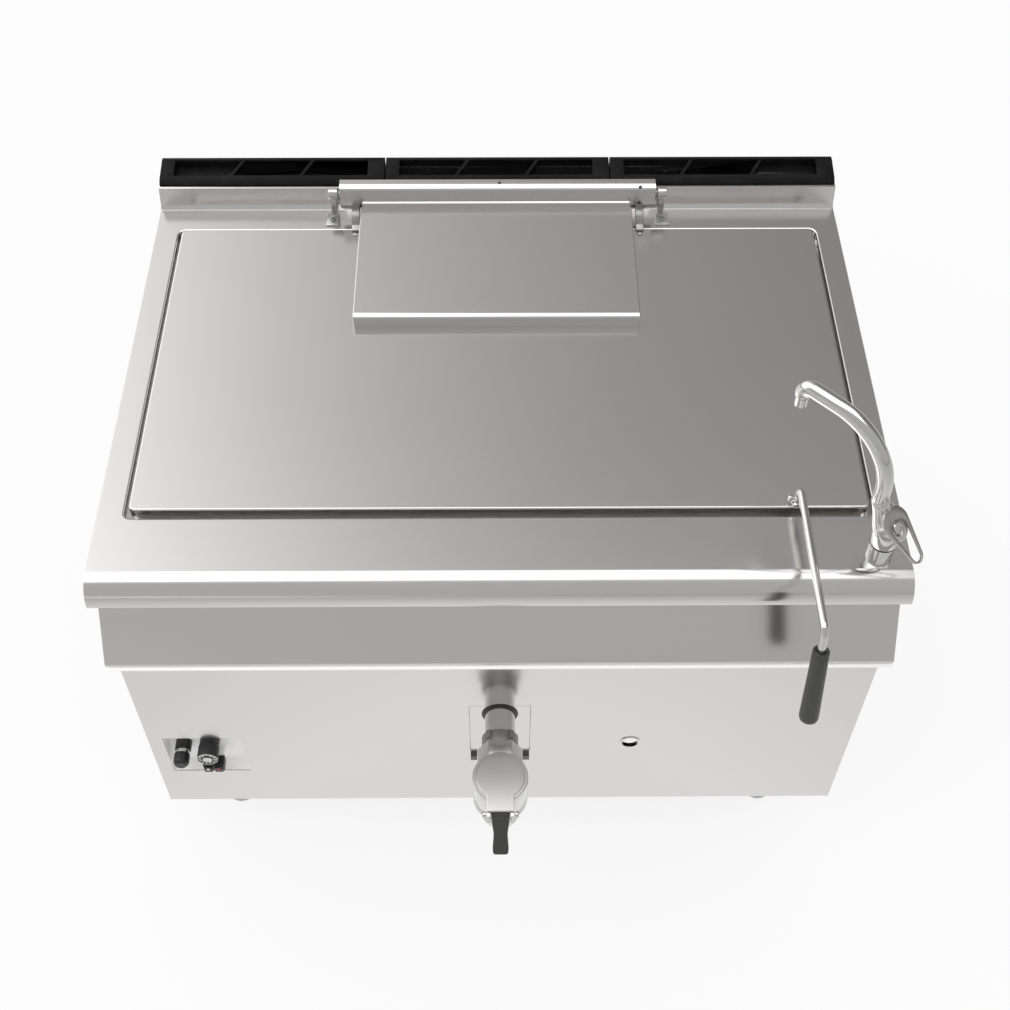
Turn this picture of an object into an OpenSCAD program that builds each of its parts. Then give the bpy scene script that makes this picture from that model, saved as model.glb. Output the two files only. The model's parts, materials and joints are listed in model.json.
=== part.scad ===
// Gas boiling pan, 1200 mm wide: a rectangular well under a balanced lid, with a
// swivelling filling tap, a lever drain tap and a three-part flue grille.
// x runs along the front, y from the front to the back, z up from the floor.

/* [Cabinet] */
// Width over the side panels
body_w = 1200; // [1160:10:1280]
// Depth from the front end of the flat worktop to the back
body_d = 872; // [864:1:890]
// Height of the worktop above the floor
worktop_h = 850; // [840:5:880]
// Clear height under the cabinet
leg_h = 148; // [140:2:160]
// Thickness of the steel sheet
sheet = 2; // [1.5:0.5:2.5]
// Thickness of the lid's sheet
lid_sheet = 1.5; // [1.2:0.1:2]
// How far the front panel stands in front of the flat worktop's end
panel_out = 8; // [6:1:12]

/* [Worktop] */
// Radius of the rounded front nose
nose_r = 36; // [30:1:38]
// Height of the worktop's folded edge
edge_h = 40; // [40:1:46]
// Height of the riser at the back
riser_h = 37; // [34:1:40]
// How far the riser leans back
riser_lean = 9; // [6:1:12]
// Depth of the flue behind the riser
flue_d = 75; // [72:1:80]
// Height of the flue's back edge above the worktop
flue_h = 54; // [50:1:58]
// Width of the flat worktop at each side of the opening
side_land = 40; // [36:1:60]
// Depth of the flat worktop behind the opening
back_land = 60; // [55:1:90]
// Distance from the flat front end to the opening
opening_front = 97; // [92:1:102]
// Corner radius of the opening
opening_r = 12; // [8:1:16]
// Depth of the drip channel round the opening
channel_h = 28; // [26:1:32]
// Width of the drip channel
channel_w = 26; // [24:1:30]

/* [Well] */
// Inside depth of the well below its rim
well_depth = 396; // [380:2:400]
// Corner radius of the well
well_r = 30; // [20:2:40]
// Width of the rim that rests in the drip channel
rim_w = 16; // [12:1:18]

/* [Lid] */
// Gap between the lid and the sides of the opening
lid_gap = 7; // [5:0.5:9]
// Gap between the lid and the front of the opening
lid_front_gap = 10; // [9:0.5:12]
// Height of the lid's face above the worktop
lid_rise = 8; // [6:1:10]
// Height of the lid's folded edge
lid_edge = 30; // [26:1:31]
// Depth of the pan formed in the lid's lining
liner_drop = 22; // [16:1:26]

/* [Hinge] */
// Distance of the hinge axis in front of the riser
hinge_front = 24; // [22:1:28]
// Height of the hinge axis above the worktop
hinge_h = 52; // [50:1:56]
// Length of the hinge housing
housing_w = 550; // [500:10:580]
// Depth of the hinge housing
housing_d = 22; // [20:1:24]
// Height of the hinge housing
housing_h = 44; // [40:1:46]
// Radius of the hinge shaft
shaft_r = 5; // [4:0.5:6]
// Thickness of each hinge bracket
bracket_t = 14; // [12:1:16]
// Width of the cover over the lid's hinge arms
cover_w = 474; // [440:2:476]
// Depth of that cover, from back to front
cover_d = 269; // [255:1:280]
// Height of the cover's front edge above the lid
cover_h = 22; // [20:1:24]

/* [Lid handle] */
// Distance of the handle rod from the lid's right side
handle_in = 107; // [95:1:125]
// Radius of the handle rod
rod_r = 6; // [5:0.5:7]
// Height of the rod above the worktop
rod_h = 38; // [34:1:42]
// How far the rod runs in front of the lid
rod_run = 252; // [240:2:264]
// Length of the grip
grip_len = 140; // [120:5:160]
// Lean of the grip out of the vertical, in degrees
grip_lean = 13; // [8:1:18]

/* [Filling tap] */
// Distance of the tap from the cabinet's right side
tap_in = 48; // [46:1:54]
// Distance of the tap behind the flat front end
tap_back = 21; // [20:1:24]
// Radius of the tap's column
column_r = 18; // [16:1:19]
// Height of the tap's column
column_h = 37; // [34:1:42]
// Radius of the tap's head
head_r = 20.5; // [19.5:0.5:22]
// Direction of the spout, in degrees from the right
spout_dir = 135; // [133:1:138]
// Radius of the spout tube
spout_r = 12; // [10:0.5:13]
// Reach of the spout from the tap's axis
spout_reach = 180; // [175:1:185]
// Height of the spout's crown above the worktop
spout_h = 232; // [228:1:240]
// Slope of the tap's lever, in degrees
lever_slope = 40; // [36:1:44]

/* [Drain tap] */
// Depth of the drain's axis below the worktop
drain_drop = 399; // [395:1:400]
// Outer radius of the drain pipe
drain_r = 25; // [23:0.5:26]
// Wall of the drain pipe
drain_wall = 3; // [2:0.5:4]
// Distance of the valve's axis in front of the flat worktop's end
valve_out = 148; // [146:1:156]
// Outer radius of the valve's drum
drum_r = 44; // [42:0.5:46]
// Height of the valve's cap above the drain's axis
cap_up = 49; // [47:1:52]
// Outer radius of the outlet
outlet_r = 30; // [29:0.5:32]
// Depth of the outlet's mouth below the drain's axis
outlet_down = 77; // [74:1:84]
// Distance of the lever's end in front of the valve's axis
handle_out = 98; // [94:1:104]

/* [Controls] */
// Distance of the control recess from the cabinet's left side
recess_in = 25; // [22:1:30]
// Width of the control recess
recess_w = 135; // [130:1:145]
// Height of the control recess's lower edge above the floor
recess_low = 258; // [250:1:262]
// Height of the control recess
recess_h = 115; // [110:1:125]
// Depth of the control recess
recess_d = 25; // [20:1:28]
// How far the controls stand out of the front panel
control_out = 20; // [16:1:24]
// Radius of the thermostat knob
knob_r = 18; // [16:0.5:19]
// Radius of the igniter's button
igniter_r = 13; // [11:0.5:14]
// Width of one push button's face
button_w = 14; // [12:0.5:15]
// Height of one push button's face
button_h = 15; // [12:0.5:16]

/* [Hidden] */
$fn = 48;

// Places that several pieces share
front_y = (valve_out + handle_out - body_d) / 2;
back_y = front_y + body_d;
top_z = worktop_h;
riser_y = back_y - flue_d;
panel_y = front_y - panel_out;
opening_w = body_w - 2 * side_land;
opening_d = body_d - flue_d - opening_front - back_land;
opening_y = front_y + opening_front + opening_d / 2;
opening_back = opening_front + opening_d;
under_top = top_z - edge_h;
face_gap = 0.3;
run_gap = 0.05;
cut = 1;

// Fascia: a sloping sheet between the worktop's edge and the front panel
fascia_lean = 31;
fascia_drop = 180;
fascia_top_y = front_y + 28;
lip_r = 6;
lip_z = top_z - fascia_drop;
lip_y = fascia_top_y - (under_top - lip_z - lip_r) * tan(fascia_lean) + lip_r / cos(fascia_lean);
panel_top = lip_z;

// Well and what hangs round it
mouth_w = opening_w - 2 * channel_w;
mouth_d = opening_d - 2 * channel_w;
well_gap = 0.5;
well_w = mouth_w - 2 * well_gap;
well_d = mouth_d - 2 * well_gap;
rim_z = top_z - channel_h + sheet;
well_floor = rim_z - well_depth;
well_front = opening_y - well_d / 2;
drain_z = top_z - drain_drop;

// Fire chamber under the well
slab_t = 19;
chamber_w = body_w - 2 * (sheet + slab_t + 1);
chamber_front = well_front - 38;
chamber_back = opening_y + well_d / 2 + 38;
chamber_low = leg_h + 102;
chamber_top = well_floor + 130;
duct_w = 600;
duct_low = well_floor + 50;
duct_front = riser_y + 15;
duct_back = back_y - 6;

// Lid
lid_w = opening_w - 2 * lid_gap;
lid_d = opening_d - lid_front_gap - lid_gap;
handle_x = lid_w / 2 - handle_in;
lid_y = opening_y + (lid_front_gap - lid_gap) / 2;
lid_z = top_z + lid_rise;
lid_r = opening_r - 2;
liner_gap = 1;
liner_flange_z = lid_z - lid_edge + 6;
hinge_y = riser_y - hinge_front;
hinge_z = top_z + hinge_h;
arm_x = cover_w / 2 + 12;
arm_t = 14;
housing_r = 9;

// Filling tap
tap_x = body_w / 2 - tap_in;
tap_y = front_y + tap_back;
head_low = top_z + column_h + face_gap;
head_z = top_z + 66;
head_in = 4;
riser_s = 25;
spout_bend = 96;
nozzle_r = 8;
nozzle_end = top_z + 191;
pivot_s = 10;
pivot_z = top_z + 106;
plate_t = 4;
tail_z = top_z - 22;
tip_r = 9.5;
tip_l = 12;

// Drain tap
valve_y = front_y - valve_out;
cap_t = 5;
cap_z = drain_z + cap_up;
seat_z = drain_z - 30;
bore_r = drain_r - drain_wall;
ring_y = front_y - 53;
ring_l = 20;
nut_flat = 64;
nut_y = ring_y - ring_l;
nut_l = 28;
tongue_w = 43;
tongue_out = 54;
fork_y = valve_y - 58;
fork_z = cap_z - cap_t - 12;

// Controls, seen from the front
recess_x = recess_in - body_w / 2 + recess_w / 2;
recess_z = recess_low + recess_h / 2;
recess_floor = panel_y + recess_d;
control_y = panel_y - control_out;
igniter_x = recess_x - 42;
igniter_z = recess_z + 4;
knob_x = recess_x + 6;
knob_z = recess_z + 19;
switch_x = recess_x + 11;
switch_z = recess_z - 18;
switch_w = 36;
switch_h = 19;
button_out = 3;
igniter_travel = 5;
button_travel = 3;
spindle_r = 4;

// Feet
foot_in = 100;
socket_r = 24;
socket_h = 80;
stem_r = 20;
foot_r = 30;
foot_t = 8;

// Inspection hole
peep_x = 223;
peep_drop = 497;
peep_z = top_z - peep_drop;
peep_r = 16;

// Sheet profile: the outer fold line, thickened to its left
function unit(v) = v / norm(v);
function left(v) = [-v[1], v[0]];
function fold_dir(p, i) = unit(p[i + 1] - p[i]);
function mitred(p, i, t) = let(
    a = fold_dir(p, max(i - 1, 0)),
    b = fold_dir(p, min(i, len(p) - 2)),
    n = unit(left(a) + left(b)))
    p[i] + n * t / (n * left(a));
function arc(c, r, a0, a1, n = 8) =
    [for (i = [0:n]) c + r * [cos(a0 + (a1 - a0) * i / n), sin(a0 + (a1 - a0) * i / n)]];

module folded(p, t) {
    polygon(concat(p, [for (i = [len(p) - 1 : -1 : 0]) mitred(p, i, t)]));
}

// A profile drawn in (y, z) and drawn out along x
module across(w) {
    rotate([90, 0, 90]) linear_extrude(w, center = true) children();
}

// A profile drawn in (x, z) and drawn out towards the front
module forward(l) {
    rotate([90, 0, 0]) linear_extrude(l) children();
}

// A rod of radius r that runs towards the front from the place it is put
module rod_forward(r, l) {
    rotate([90, 0, 0]) cylinder(r = r, h = l);
}

module rod_across(r, l) {
    rotate([0, 90, 0]) cylinder(r = r, h = l, center = true);
}

module rounded_rect(w, d, r) {
    square([w - 2 * r, d], center = true);
    square([w, d - 2 * r], center = true);
    for (x = [-1, 1], y = [-1, 1])
        translate([x * (w / 2 - r), y * (d / 2 - r)]) circle(r);
}

module rounded_frame(w, d, r, t) {
    difference() {
        rounded_rect(w, d, r);
        rounded_rect(w - 2 * t, d - 2 * t, r - t);
    }
}

// Straight pipe runs with round elbows
module pipe_run(p, r) {
    for (i = [0 : len(p) - 2]) {
        v = p[i + 1] - p[i];
        translate(p[i])
            rotate([0, acos(v[2] / norm(v)), atan2(v[1], v[0])])
                cylinder(r = r, h = norm(v));
    }
    for (i = [1 : 1 : len(p) - 2]) translate(p[i]) sphere(r);
}

/* Worktop and casing */

module worktop_profile() {
    translate([front_y, top_z - sheet]) square([riser_y - front_y, sheet]);
    translate([front_y, top_z - nose_r]) intersection() {
        difference() {
            circle(nose_r);
            circle(nose_r - sheet);
        }
        translate([-nose_r, 0]) square(nose_r);
    }
    translate([front_y - nose_r, under_top]) square([sheet, edge_h - nose_r]);
    translate([front_y - nose_r, under_top]) square([nose_r, sheet]);
    folded([[back_y - sheet, top_z + riser_h], [riser_y + riser_lean, top_z + riser_h],
        [riser_y + 1, top_z + 6], [riser_y - 5, top_z], [riser_y - 20, top_z]], sheet);
}

module worktop_end() {
    translate([front_y, under_top]) square([riser_y - front_y, edge_h]);
    translate([front_y, top_z - nose_r]) intersection() {
        circle(nose_r);
        translate([-nose_r, -edge_h + nose_r]) square([nose_r, edge_h]);
    }
    translate([front_y - nose_r, under_top]) square([nose_r, edge_h - nose_r]);
    polygon([[riser_y, top_z], [riser_y + riser_lean, top_z + riser_h],
        [back_y - sheet, top_z + riser_h], [back_y - sheet, under_top], [riser_y, under_top]]);
}

module worktop() {
    color("silver") {
        difference() {
            union() {
                across(body_w) worktop_profile();
                for (s = [-1, 1])
                    translate([s * (body_w - sheet) / 2, 0, 0]) across(sheet) worktop_end();
            }
            translate([0, opening_y, top_z - edge_h / 2])
                linear_extrude(edge_h) rounded_rect(opening_w, opening_d, opening_r);
            translate([tap_x, tap_y, top_z - edge_h / 2]) cylinder(r = 11, h = edge_h);
            for (s = [-1, 1])
                translate([s * bracket_foot_x, hinge_y - bracket_screw, top_z - edge_h / 2])
                    cylinder(r = 3, h = edge_h);
            translate([0, (duct_front + duct_back) / 2, top_z + riser_h - edge_h / 2])
                linear_extrude(edge_h) square([duct_w - 2 * sheet, duct_back - duct_front - 2 * sheet],
                    center = true);
        }
        translate([0, opening_y, top_z - channel_h]) {
            linear_extrude(channel_h - sheet)
                rounded_frame(opening_w + 2 * sheet, opening_d + 2 * sheet, opening_r + sheet, sheet);
            linear_extrude(sheet) difference() {
                rounded_rect(opening_w + sheet, opening_d + sheet, opening_r);
                rounded_rect(mouth_w, mouth_d, well_r);
            }
        }
    }
}

bracket_foot_x = housing_w / 2 + face_gap + bracket_t / 2;
bracket_screw = 7;

module control_fascia() {
    outline = concat([[fascia_top_y, under_top]],
        arc([lip_y, lip_z + lip_r], lip_r, 180 - fascia_lean, 270), [[panel_y, lip_z]]);
    color("silver") {
        across(body_w) folded(outline, sheet);
        for (s = [-1, 1]) translate([s * (body_w - sheet) / 2, 0, 0])
            across(sheet) polygon(concat(outline, [[fascia_top_y, lip_z]]));
    }
}

module front_panel() {
    color("gainsboro") difference() {
        translate([-body_w / 2, panel_y, leg_h]) cube([body_w, sheet, panel_top - leg_h]);
        translate([recess_x, panel_y + sheet + cut, recess_z])
            forward(sheet + 2 * cut) square([recess_w, recess_h], center = true);
        translate([0, panel_y + sheet + cut, 0]) forward(sheet + 2 * cut)
            translate([-slot_w / 2, slot_low]) square([slot_w, slot_top - slot_low]);
        translate([peep_x, panel_y + sheet + cut, peep_z]) rod_forward(peep_r, sheet + 2 * cut);
    }
}

// Cover plate let into the front panel round the drain pipe
slot_w = 102;
slot_top = drain_z + 26;
slot_low = drain_z - 125;
slot_gap = 0.4;

module slot_cover() {
    color("gainsboro") difference() {
        union() {
            translate([-slot_w / 2 + slot_gap, panel_y, slot_low + slot_gap])
                cube([slot_w - 2 * slot_gap, sheet, slot_top - slot_low - 2 * slot_gap]);
            translate([-slot_w / 2 - 12, panel_y + sheet, slot_low - 12])
                cube([slot_w + 24, sheet, slot_top - slot_low + 24]);
        }
        translate([0, panel_y + 3 * sheet, drain_z]) rod_forward(drain_r + 3, 4 * sheet);
    }
}

module slot_cover_clips() {
    color("dimgray") for (s = [-1, 1]) translate([s * 45, panel_y, slot_low - 15])
        forward(7) square([11, 13], center = true);
}

module control_recess() {
    color("silver") difference() {
        translate([recess_x, recess_floor + sheet, recess_z])
            forward(recess_d) square([recess_w + 2 * sheet, recess_h + 2 * sheet], center = true);
        translate([recess_x, recess_floor, recess_z])
            forward(recess_d + cut) square([recess_w, recess_h], center = true);
        translate([igniter_x, recess_floor + 3 * sheet, igniter_z]) rod_forward(9, 4 * sheet);
        translate([knob_x, recess_floor + 3 * sheet, knob_z]) rod_forward(9, 4 * sheet);
        translate([switch_x, recess_floor + 3 * sheet, switch_z])
            forward(4 * sheet) square([switch_w - 8, switch_h - 6], center = true);
    }
}

module inspection_ring() {
    color("silver") translate([peep_x, panel_y, peep_z]) difference() {
        union() {
            rod_forward(peep_r + 2, 1.5);
            translate([0, sheet + 4, 0]) rod_forward(peep_r - 0.3, sheet + 4);
        }
        translate([0, sheet + 4 + cut, 0]) rod_forward(peep_r - 2, sheet + 8);
    }
}

module side_panel(side) {
    color("silver") translate([side * (body_w - sheet) / 2, 0, 0]) across(sheet)
        polygon([[panel_y + sheet, leg_h], [panel_y + sheet, panel_top], [fascia_top_y, lip_z],
            [fascia_top_y, under_top], [back_y - sheet, under_top], [back_y - sheet, leg_h]]);
}

module left_side_panel() {
    side_panel(-1);
}

module right_side_panel() {
    side_panel(1);
}

module rear_panel() {
    color("silver") translate([-body_w / 2, back_y - sheet, leg_h])
        cube([body_w, sheet, top_z + riser_h - leg_h]);
}

/* Base */

rail = 40;

module rail_bar(l) {
    difference() {
        cube([l, rail, rail], center = true);
        cube([l + cut, rail - 2 * sheet, rail - 2 * sheet], center = true);
    }
}

module base_rails_long() {
    color("gray") for (y = [panel_y + sheet + rail / 2, back_y - sheet - rail / 2])
        translate([0, y, leg_h + rail / 2]) rail_bar(body_w - 2 * sheet);
}

module base_rails_side() {
    l = back_y - panel_y - 2 * sheet - 2 * rail;
    color("gray") for (s = [-1, 1])
        translate([s * (body_w / 2 - sheet - rail / 2), (panel_y + back_y) / 2, leg_h + rail / 2])
            rotate([0, 0, 90]) rail_bar(l);
}

foot_x = body_w / 2 - foot_in;
foot_front = panel_y + foot_in;
foot_back = back_y - foot_in;

module leg_sockets() {
    color("gray") for (x = [-foot_x, foot_x], y = [foot_front, foot_back])
        translate([x, y, 0]) difference() {
            union() {
                translate([0, 0, leg_h - socket_h]) cylinder(r = socket_r, h = socket_h);
                translate([0, 0, leg_h - 3]) linear_extrude(3)
                    square([2 * (foot_in - sheet), 60], center = true);
                translate([0, 0, leg_h - 3]) linear_extrude(3)
                    square([60, 2 * (foot_in - sheet)], center = true);
            }
            translate([0, 0, leg_h - socket_h - cut])
                cylinder(r = stem_r + run_gap, h = socket_h - 5 + cut);
        }
}

module foot(x, y) {
    color("gray") translate([x, y, 0]) {
        cylinder(r = foot_r, h = foot_t);
        translate([0, 0, foot_t]) cylinder(r1 = foot_r, r2 = stem_r, h = foot_t);
        translate([0, 0, foot_t]) cylinder(r = stem_r, h = leg_h - 10 - foot_t);
    }
}

module foot_front_left() {
    foot(-foot_x, foot_front);
}

module foot_front_right() {
    foot(foot_x, foot_front);
}

module foot_rear_left() {
    foot(-foot_x, foot_back);
}

module foot_rear_right() {
    foot(foot_x, foot_back);
}

/* Flue */

grille_w = body_w / 3 - 2;
grille_lip = riser_y + 16;
grille_low = top_z + riser_h;
grille_wall = 4;
grille_end = 24;
grille_far_end = 30;
bar_first = 126;
bar_pitch = 124;
window_front = riser_y + 32;
window_d = 34;
bar_lean = 20;
bar_w = 6;

module grille_outline(t) {
    offset_top = t;
    polygon([[grille_lip + t, grille_low - (t > 0 ? cut : 0)], [grille_lip + t, grille_low + 3],
        [grille_lip + 8 + t, grille_low + 9 - offset_top],
        [back_y - 8, top_z + flue_h - offset_top], [back_y - t, top_z + flue_h - 2 - offset_top],
        [back_y - t, grille_low - (t > 0 ? cut : 0)]]);
}

module grille_window(x0, x1, lean0, lean1) {
    translate([0, window_front, grille_low - cut]) linear_extrude(flue_h)
        polygon([[x0, 0], [x1, 0], [x1 + lean1, window_d], [x0 + lean0, window_d]]);
}

module flue_grille(x) {
    w = grille_w;
    first = -w / 2 + grille_end;
    bar_a = -w / 2 + bar_first;
    bar_b = bar_a + bar_pitch;
    last = w / 2 - grille_far_end;
    color("#282828") translate([x, 0, 0]) difference() {
        across(w) grille_outline(0);
        across(w - 2 * grille_wall) grille_outline(grille_wall);
        grille_window(first, bar_a - bar_w / 2, 0, bar_lean);
        grille_window(bar_a + bar_w / 2, bar_b - bar_w / 2, bar_lean, bar_lean);
        grille_window(bar_b + bar_w / 2, last, bar_lean, 0);
    }
}

module flue_grille_left() {
    flue_grille(-body_w / 3);
}

module flue_grille_centre() {
    flue_grille(0);
}

module flue_grille_right() {
    flue_grille(body_w / 3);
}

module flue_meshes() {
    w = grille_w - 2 * grille_wall - 1;
    d = back_y - grille_lip - 2 * grille_wall - 1;
    slots = 20;
    pitch = (w - 20) / slots;
    color("#1c1c1c") for (x = [-1, 0, 1])
        translate([x * body_w / 3, (grille_lip + back_y) / 2, grille_low]) linear_extrude(1)
            difference() {
                square([w, d], center = true);
                for (i = [0 : slots - 1]) translate([(i + 0.5 - slots / 2) * pitch, 0])
                    square([pitch - 6, d - 14], center = true);
            }
}

module flue_duct() {
    duct_d = duct_back - duct_front;
    color("gray") difference() {
        union() {
            translate([-duct_w / 2, duct_front, duct_low])
                cube([duct_w, duct_d, top_z + riser_h - sheet - duct_low]);
            translate([-duct_w / 2, chamber_back, duct_low])
                cube([duct_w, duct_back - chamber_back, 70]);
        }
        translate([-duct_w / 2 + sheet, duct_front + sheet, duct_low + sheet])
            cube([duct_w - 2 * sheet, duct_d - 2 * sheet, worktop_h]);
        translate([-duct_w / 2 + sheet, chamber_back - cut, duct_low + sheet])
            cube([duct_w - 2 * sheet, duct_front - chamber_back + 3 * sheet, 70 - 2 * sheet]);
    }
}

/* Well and fire chamber */

module vessel() {
    color("silver") difference() {
        union() {
            translate([0, opening_y, rim_z])
                linear_extrude(sheet) rounded_rect(mouth_w + 2 * rim_w, mouth_d + 2 * rim_w, well_r);
            translate([0, opening_y, well_floor - sheet])
                linear_extrude(well_depth + 2 * sheet) rounded_rect(well_w, well_d, well_r);
        }
        translate([0, opening_y, well_floor])
            linear_extrude(well_depth * 2)
                rounded_rect(well_w - 2 * sheet, well_d - 2 * sheet, well_r - sheet);
        translate([0, well_front + 2 * sheet, drain_z]) rod_forward(bore_r, 4 * sheet);
    }
}

module vessel_strainer() {
    cup_r = drain_z - well_floor - face_gap;
    color("silver") translate([0, well_front + sheet, drain_z]) difference() {
        translate([0, 12, 0]) rod_forward(cup_r, 12);
        translate([0, 10.5, 0]) rod_forward(cup_r - 1.5, 12);
        for (x = [-16, -8, 0, 8, 16], z = [-16, -8, 0, 8, 16])
            if (norm([x, z]) < cup_r - 5)
                translate([x, 13, z]) rod_forward(2.5, 5);
    }
}

module combustion_chamber() {
    color("gray") difference() {
        translate([-chamber_w / 2, chamber_front, chamber_low])
            cube([chamber_w, chamber_back - chamber_front, chamber_top - chamber_low]);
        translate([-chamber_w / 2 + sheet, chamber_front + sheet, chamber_low - cut])
            cube([chamber_w - 2 * sheet, chamber_back - chamber_front - 2 * sheet,
                chamber_top - chamber_low - sheet + cut]);
        translate([0, opening_y, chamber_low])
            linear_extrude(chamber_top) rounded_rect(well_w + 0.6, well_d + 0.6, well_r + 0.3);
        translate([0, chamber_front + 3 * sheet, drain_z])
            rod_forward(drain_r + 1, 5 * sheet);
        translate([peep_x, chamber_front + 3 * sheet, peep_z]) rod_forward(peep_r - 4, 5 * sheet);
        for (x = burner_x) translate([x, chamber_front + 3 * sheet, burner_z])
            rod_forward(burner_r + face_gap, 5 * sheet);
        translate([-duct_w / 2 + sheet, chamber_back - 2 * sheet, duct_low + sheet])
            cube([duct_w - 2 * sheet, 4 * sheet, 70 - 2 * sheet]);
    }
}

module insulation_slabs() {
    slab_d = chamber_back - chamber_front;
    color("khaki") for (s = [-1, 1])
        translate([s * (chamber_w / 2 + face_gap + slab_t / 2), (chamber_front + chamber_back) / 2,
            chamber_low + 30])
            linear_extrude(chamber_top - chamber_low - 30)
                square([slab_t, slab_d], center = true);
}

burner_r = 22;
burner_z = well_floor - 100;
burner_in = 218;
burner_side = chamber_w / 2 - burner_in;
burner_x = [-burner_side, 0, burner_side];
burner_front = chamber_front - 8;
manifold_y = chamber_front - 40;
manifold_r = 13;
manifold_left = knob_x + 26;
manifold_right = burner_side + 70;
valve_mid = recess_floor + sheet + 22;
supply_z = leg_h + 62;
inlet_x = 350;
inlet_back = back_y - 90;
inlet_end = leg_h - 30;
spigot = 36;

module burners() {
    l = chamber_back - sheet - burner_front;
    slots = 15;
    pitch = (l - 140) / slots;
    color("gray") for (x = burner_x) translate([x, burner_front, burner_z]) difference() {
        translate([0, l, 0]) rod_forward(burner_r, l);
        translate([0, l - 3, 0]) rod_forward(burner_r - 2, l);
        for (i = [0 : slots - 1]) translate([-burner_r, 90 + i * pitch, 8])
            cube([2 * burner_r, 4, burner_r]);
    }
}

module gas_manifold() {
    color("gray") {
        translate([(manifold_left + manifold_right) / 2, manifold_y, burner_z])
            rod_across(manifold_r, manifold_right - manifold_left);
        for (x = burner_x)
            translate([x, burner_front + 12, burner_z]) rod_forward(6, burner_front + 12 - manifold_y);
    }
}

module gas_valve() {
    color("darkgray") {
        translate([knob_x - 26, recess_floor + sheet, knob_z - 30]) cube([52, 44, 60]);
        translate([knob_x, recess_floor + sheet + 1, knob_z])
            rod_forward(spindle_r, recess_d + sheet + control_out - 6);
    }
}

module pilot_burner() {
    color("darkgray") translate([peep_x, chamber_front, burner_z]) {
        translate([-22, sheet, 6]) cube([44, 40, 5]);
        translate([-10, 32, 6]) cylinder(r = 5, h = 36);
        translate([6, 32, 6]) cylinder(r = 3, h = 44);
    }
}

// A hexagon union above the free end of a supply pipe
module inlet_union(x, r) {
    translate([x, inlet_back, inlet_end + spigot]) cylinder(r = r, h = 14, $fn = 6);
}

module gas_inlet_pipe() {
    color("gray") {
        pipe_run([[knob_x, valve_mid, knob_z - 30], [knob_x, valve_mid, supply_z],
        [knob_x, inlet_back, supply_z], [-inlet_x, inlet_back, supply_z],
        [-inlet_x, inlet_back, inlet_end]], 10.5);
        inlet_union(-inlet_x, 17);
    }
}

module water_inlet_pipe() {
    riser = tap_y + 44;
    elbow_z = tail_z - 8.5;
    color("gray") {
        pipe_run([[tap_x, tap_y, tail_z], [tap_x, tap_y, elbow_z], [tap_x, riser, elbow_z],
            [tap_x, riser, supply_z], [tap_x, inlet_back, supply_z],
            [inlet_x, inlet_back, supply_z], [inlet_x, inlet_back, inlet_end]], 7.5);
        inlet_union(inlet_x, 13);
    }
}

/* Hinge and lid */

module hinge_brackets() {
    color("silver") for (s = [-1, 1]) translate([0, hinge_y, 0]) {
        x = s * (housing_w / 2 + face_gap + bracket_t / 2);
        difference() {
            union() {
                translate([x, 0, 0]) across(bracket_t) {
                    translate([1, top_z]) square([9, hinge_h]);
                    translate([0, hinge_z]) circle(10);
                }
                translate([s * bracket_foot_x, 0, top_z + 1.5]) cube([22, 27, 3], center = true);
            }
            translate([x, 0, hinge_z]) rod_across(shaft_r, bracket_t + 2 * cut);
            translate([s * bracket_foot_x, -bracket_screw, top_z - cut]) cylinder(r = 3, h = 6);
        }
    }
}

module hinge_shaft() {
    color("gray") translate([0, hinge_y, hinge_z])
        rod_across(shaft_r, housing_w + 2 * bracket_t + 2 * face_gap);
}

module hinge_springs() {
    wire = 1.5;
    turns = 20;
    color("dimgray") for (s = [-1, 1]) translate([s * 160, hinge_y, hinge_z]) rotate([0, 90, 0])
        rotate_extrude() {
            for (i = [0 : turns - 1]) translate([shaft_r + wire, (i - turns / 2) * 1.9 * wire])
                circle(wire, $fn = 24);
            translate([shaft_r, -turns * 0.95 * wire]) square([wire, (turns - 1) * 1.9 * wire]);
        }
}

module bracket_screws() {
    color("dimgray") for (s = [-1, 1])
        translate([s * bracket_foot_x, hinge_y - bracket_screw, top_z]) {
        translate([0, 0, 3]) cylinder(r = 5, h = 3);
        translate([0, 0, -8]) cylinder(r = 3, h = 12);
    }
}

module lid_panel() {
    color("silver") difference() {
        translate([0, lid_y, lid_z - lid_edge]) linear_extrude(lid_edge)
            rounded_rect(lid_w, lid_d, lid_r);
        translate([0, lid_y, lid_z - lid_edge - cut]) linear_extrude(lid_edge - lid_sheet + cut)
            rounded_rect(lid_w - 2 * lid_sheet, lid_d - 2 * lid_sheet, lid_r - lid_sheet);
    }
}

liner_w = lid_w - 2 * lid_sheet - 2 * liner_gap;
liner_d = lid_d - 2 * lid_sheet - 2 * liner_gap;
dish_w = well_w - 40;
dish_d = well_d - 50;

module lid_liner() {
    color("silver") translate([0, lid_y, 0]) difference() {
        union() {
            translate([0, 0, liner_flange_z]) linear_extrude(lid_z - lid_sheet - liner_flange_z)
                rounded_rect(liner_w, liner_d, lid_r - lid_sheet);
            translate([0, 0, liner_flange_z - liner_drop]) linear_extrude(liner_drop + cut)
                rounded_rect(dish_w, dish_d, well_r);
        }
        translate([0, 0, liner_flange_z + lid_sheet]) linear_extrude(lid_edge)
            rounded_rect(liner_w - 2 * lid_sheet, liner_d - 2 * lid_sheet, lid_r - 2 * lid_sheet);
        translate([0, 0, liner_flange_z - liner_drop + lid_sheet]) linear_extrude(lid_edge)
            rounded_rect(dish_w - 2 * lid_sheet, dish_d - 2 * lid_sheet, well_r - lid_sheet);
    }
}

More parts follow.
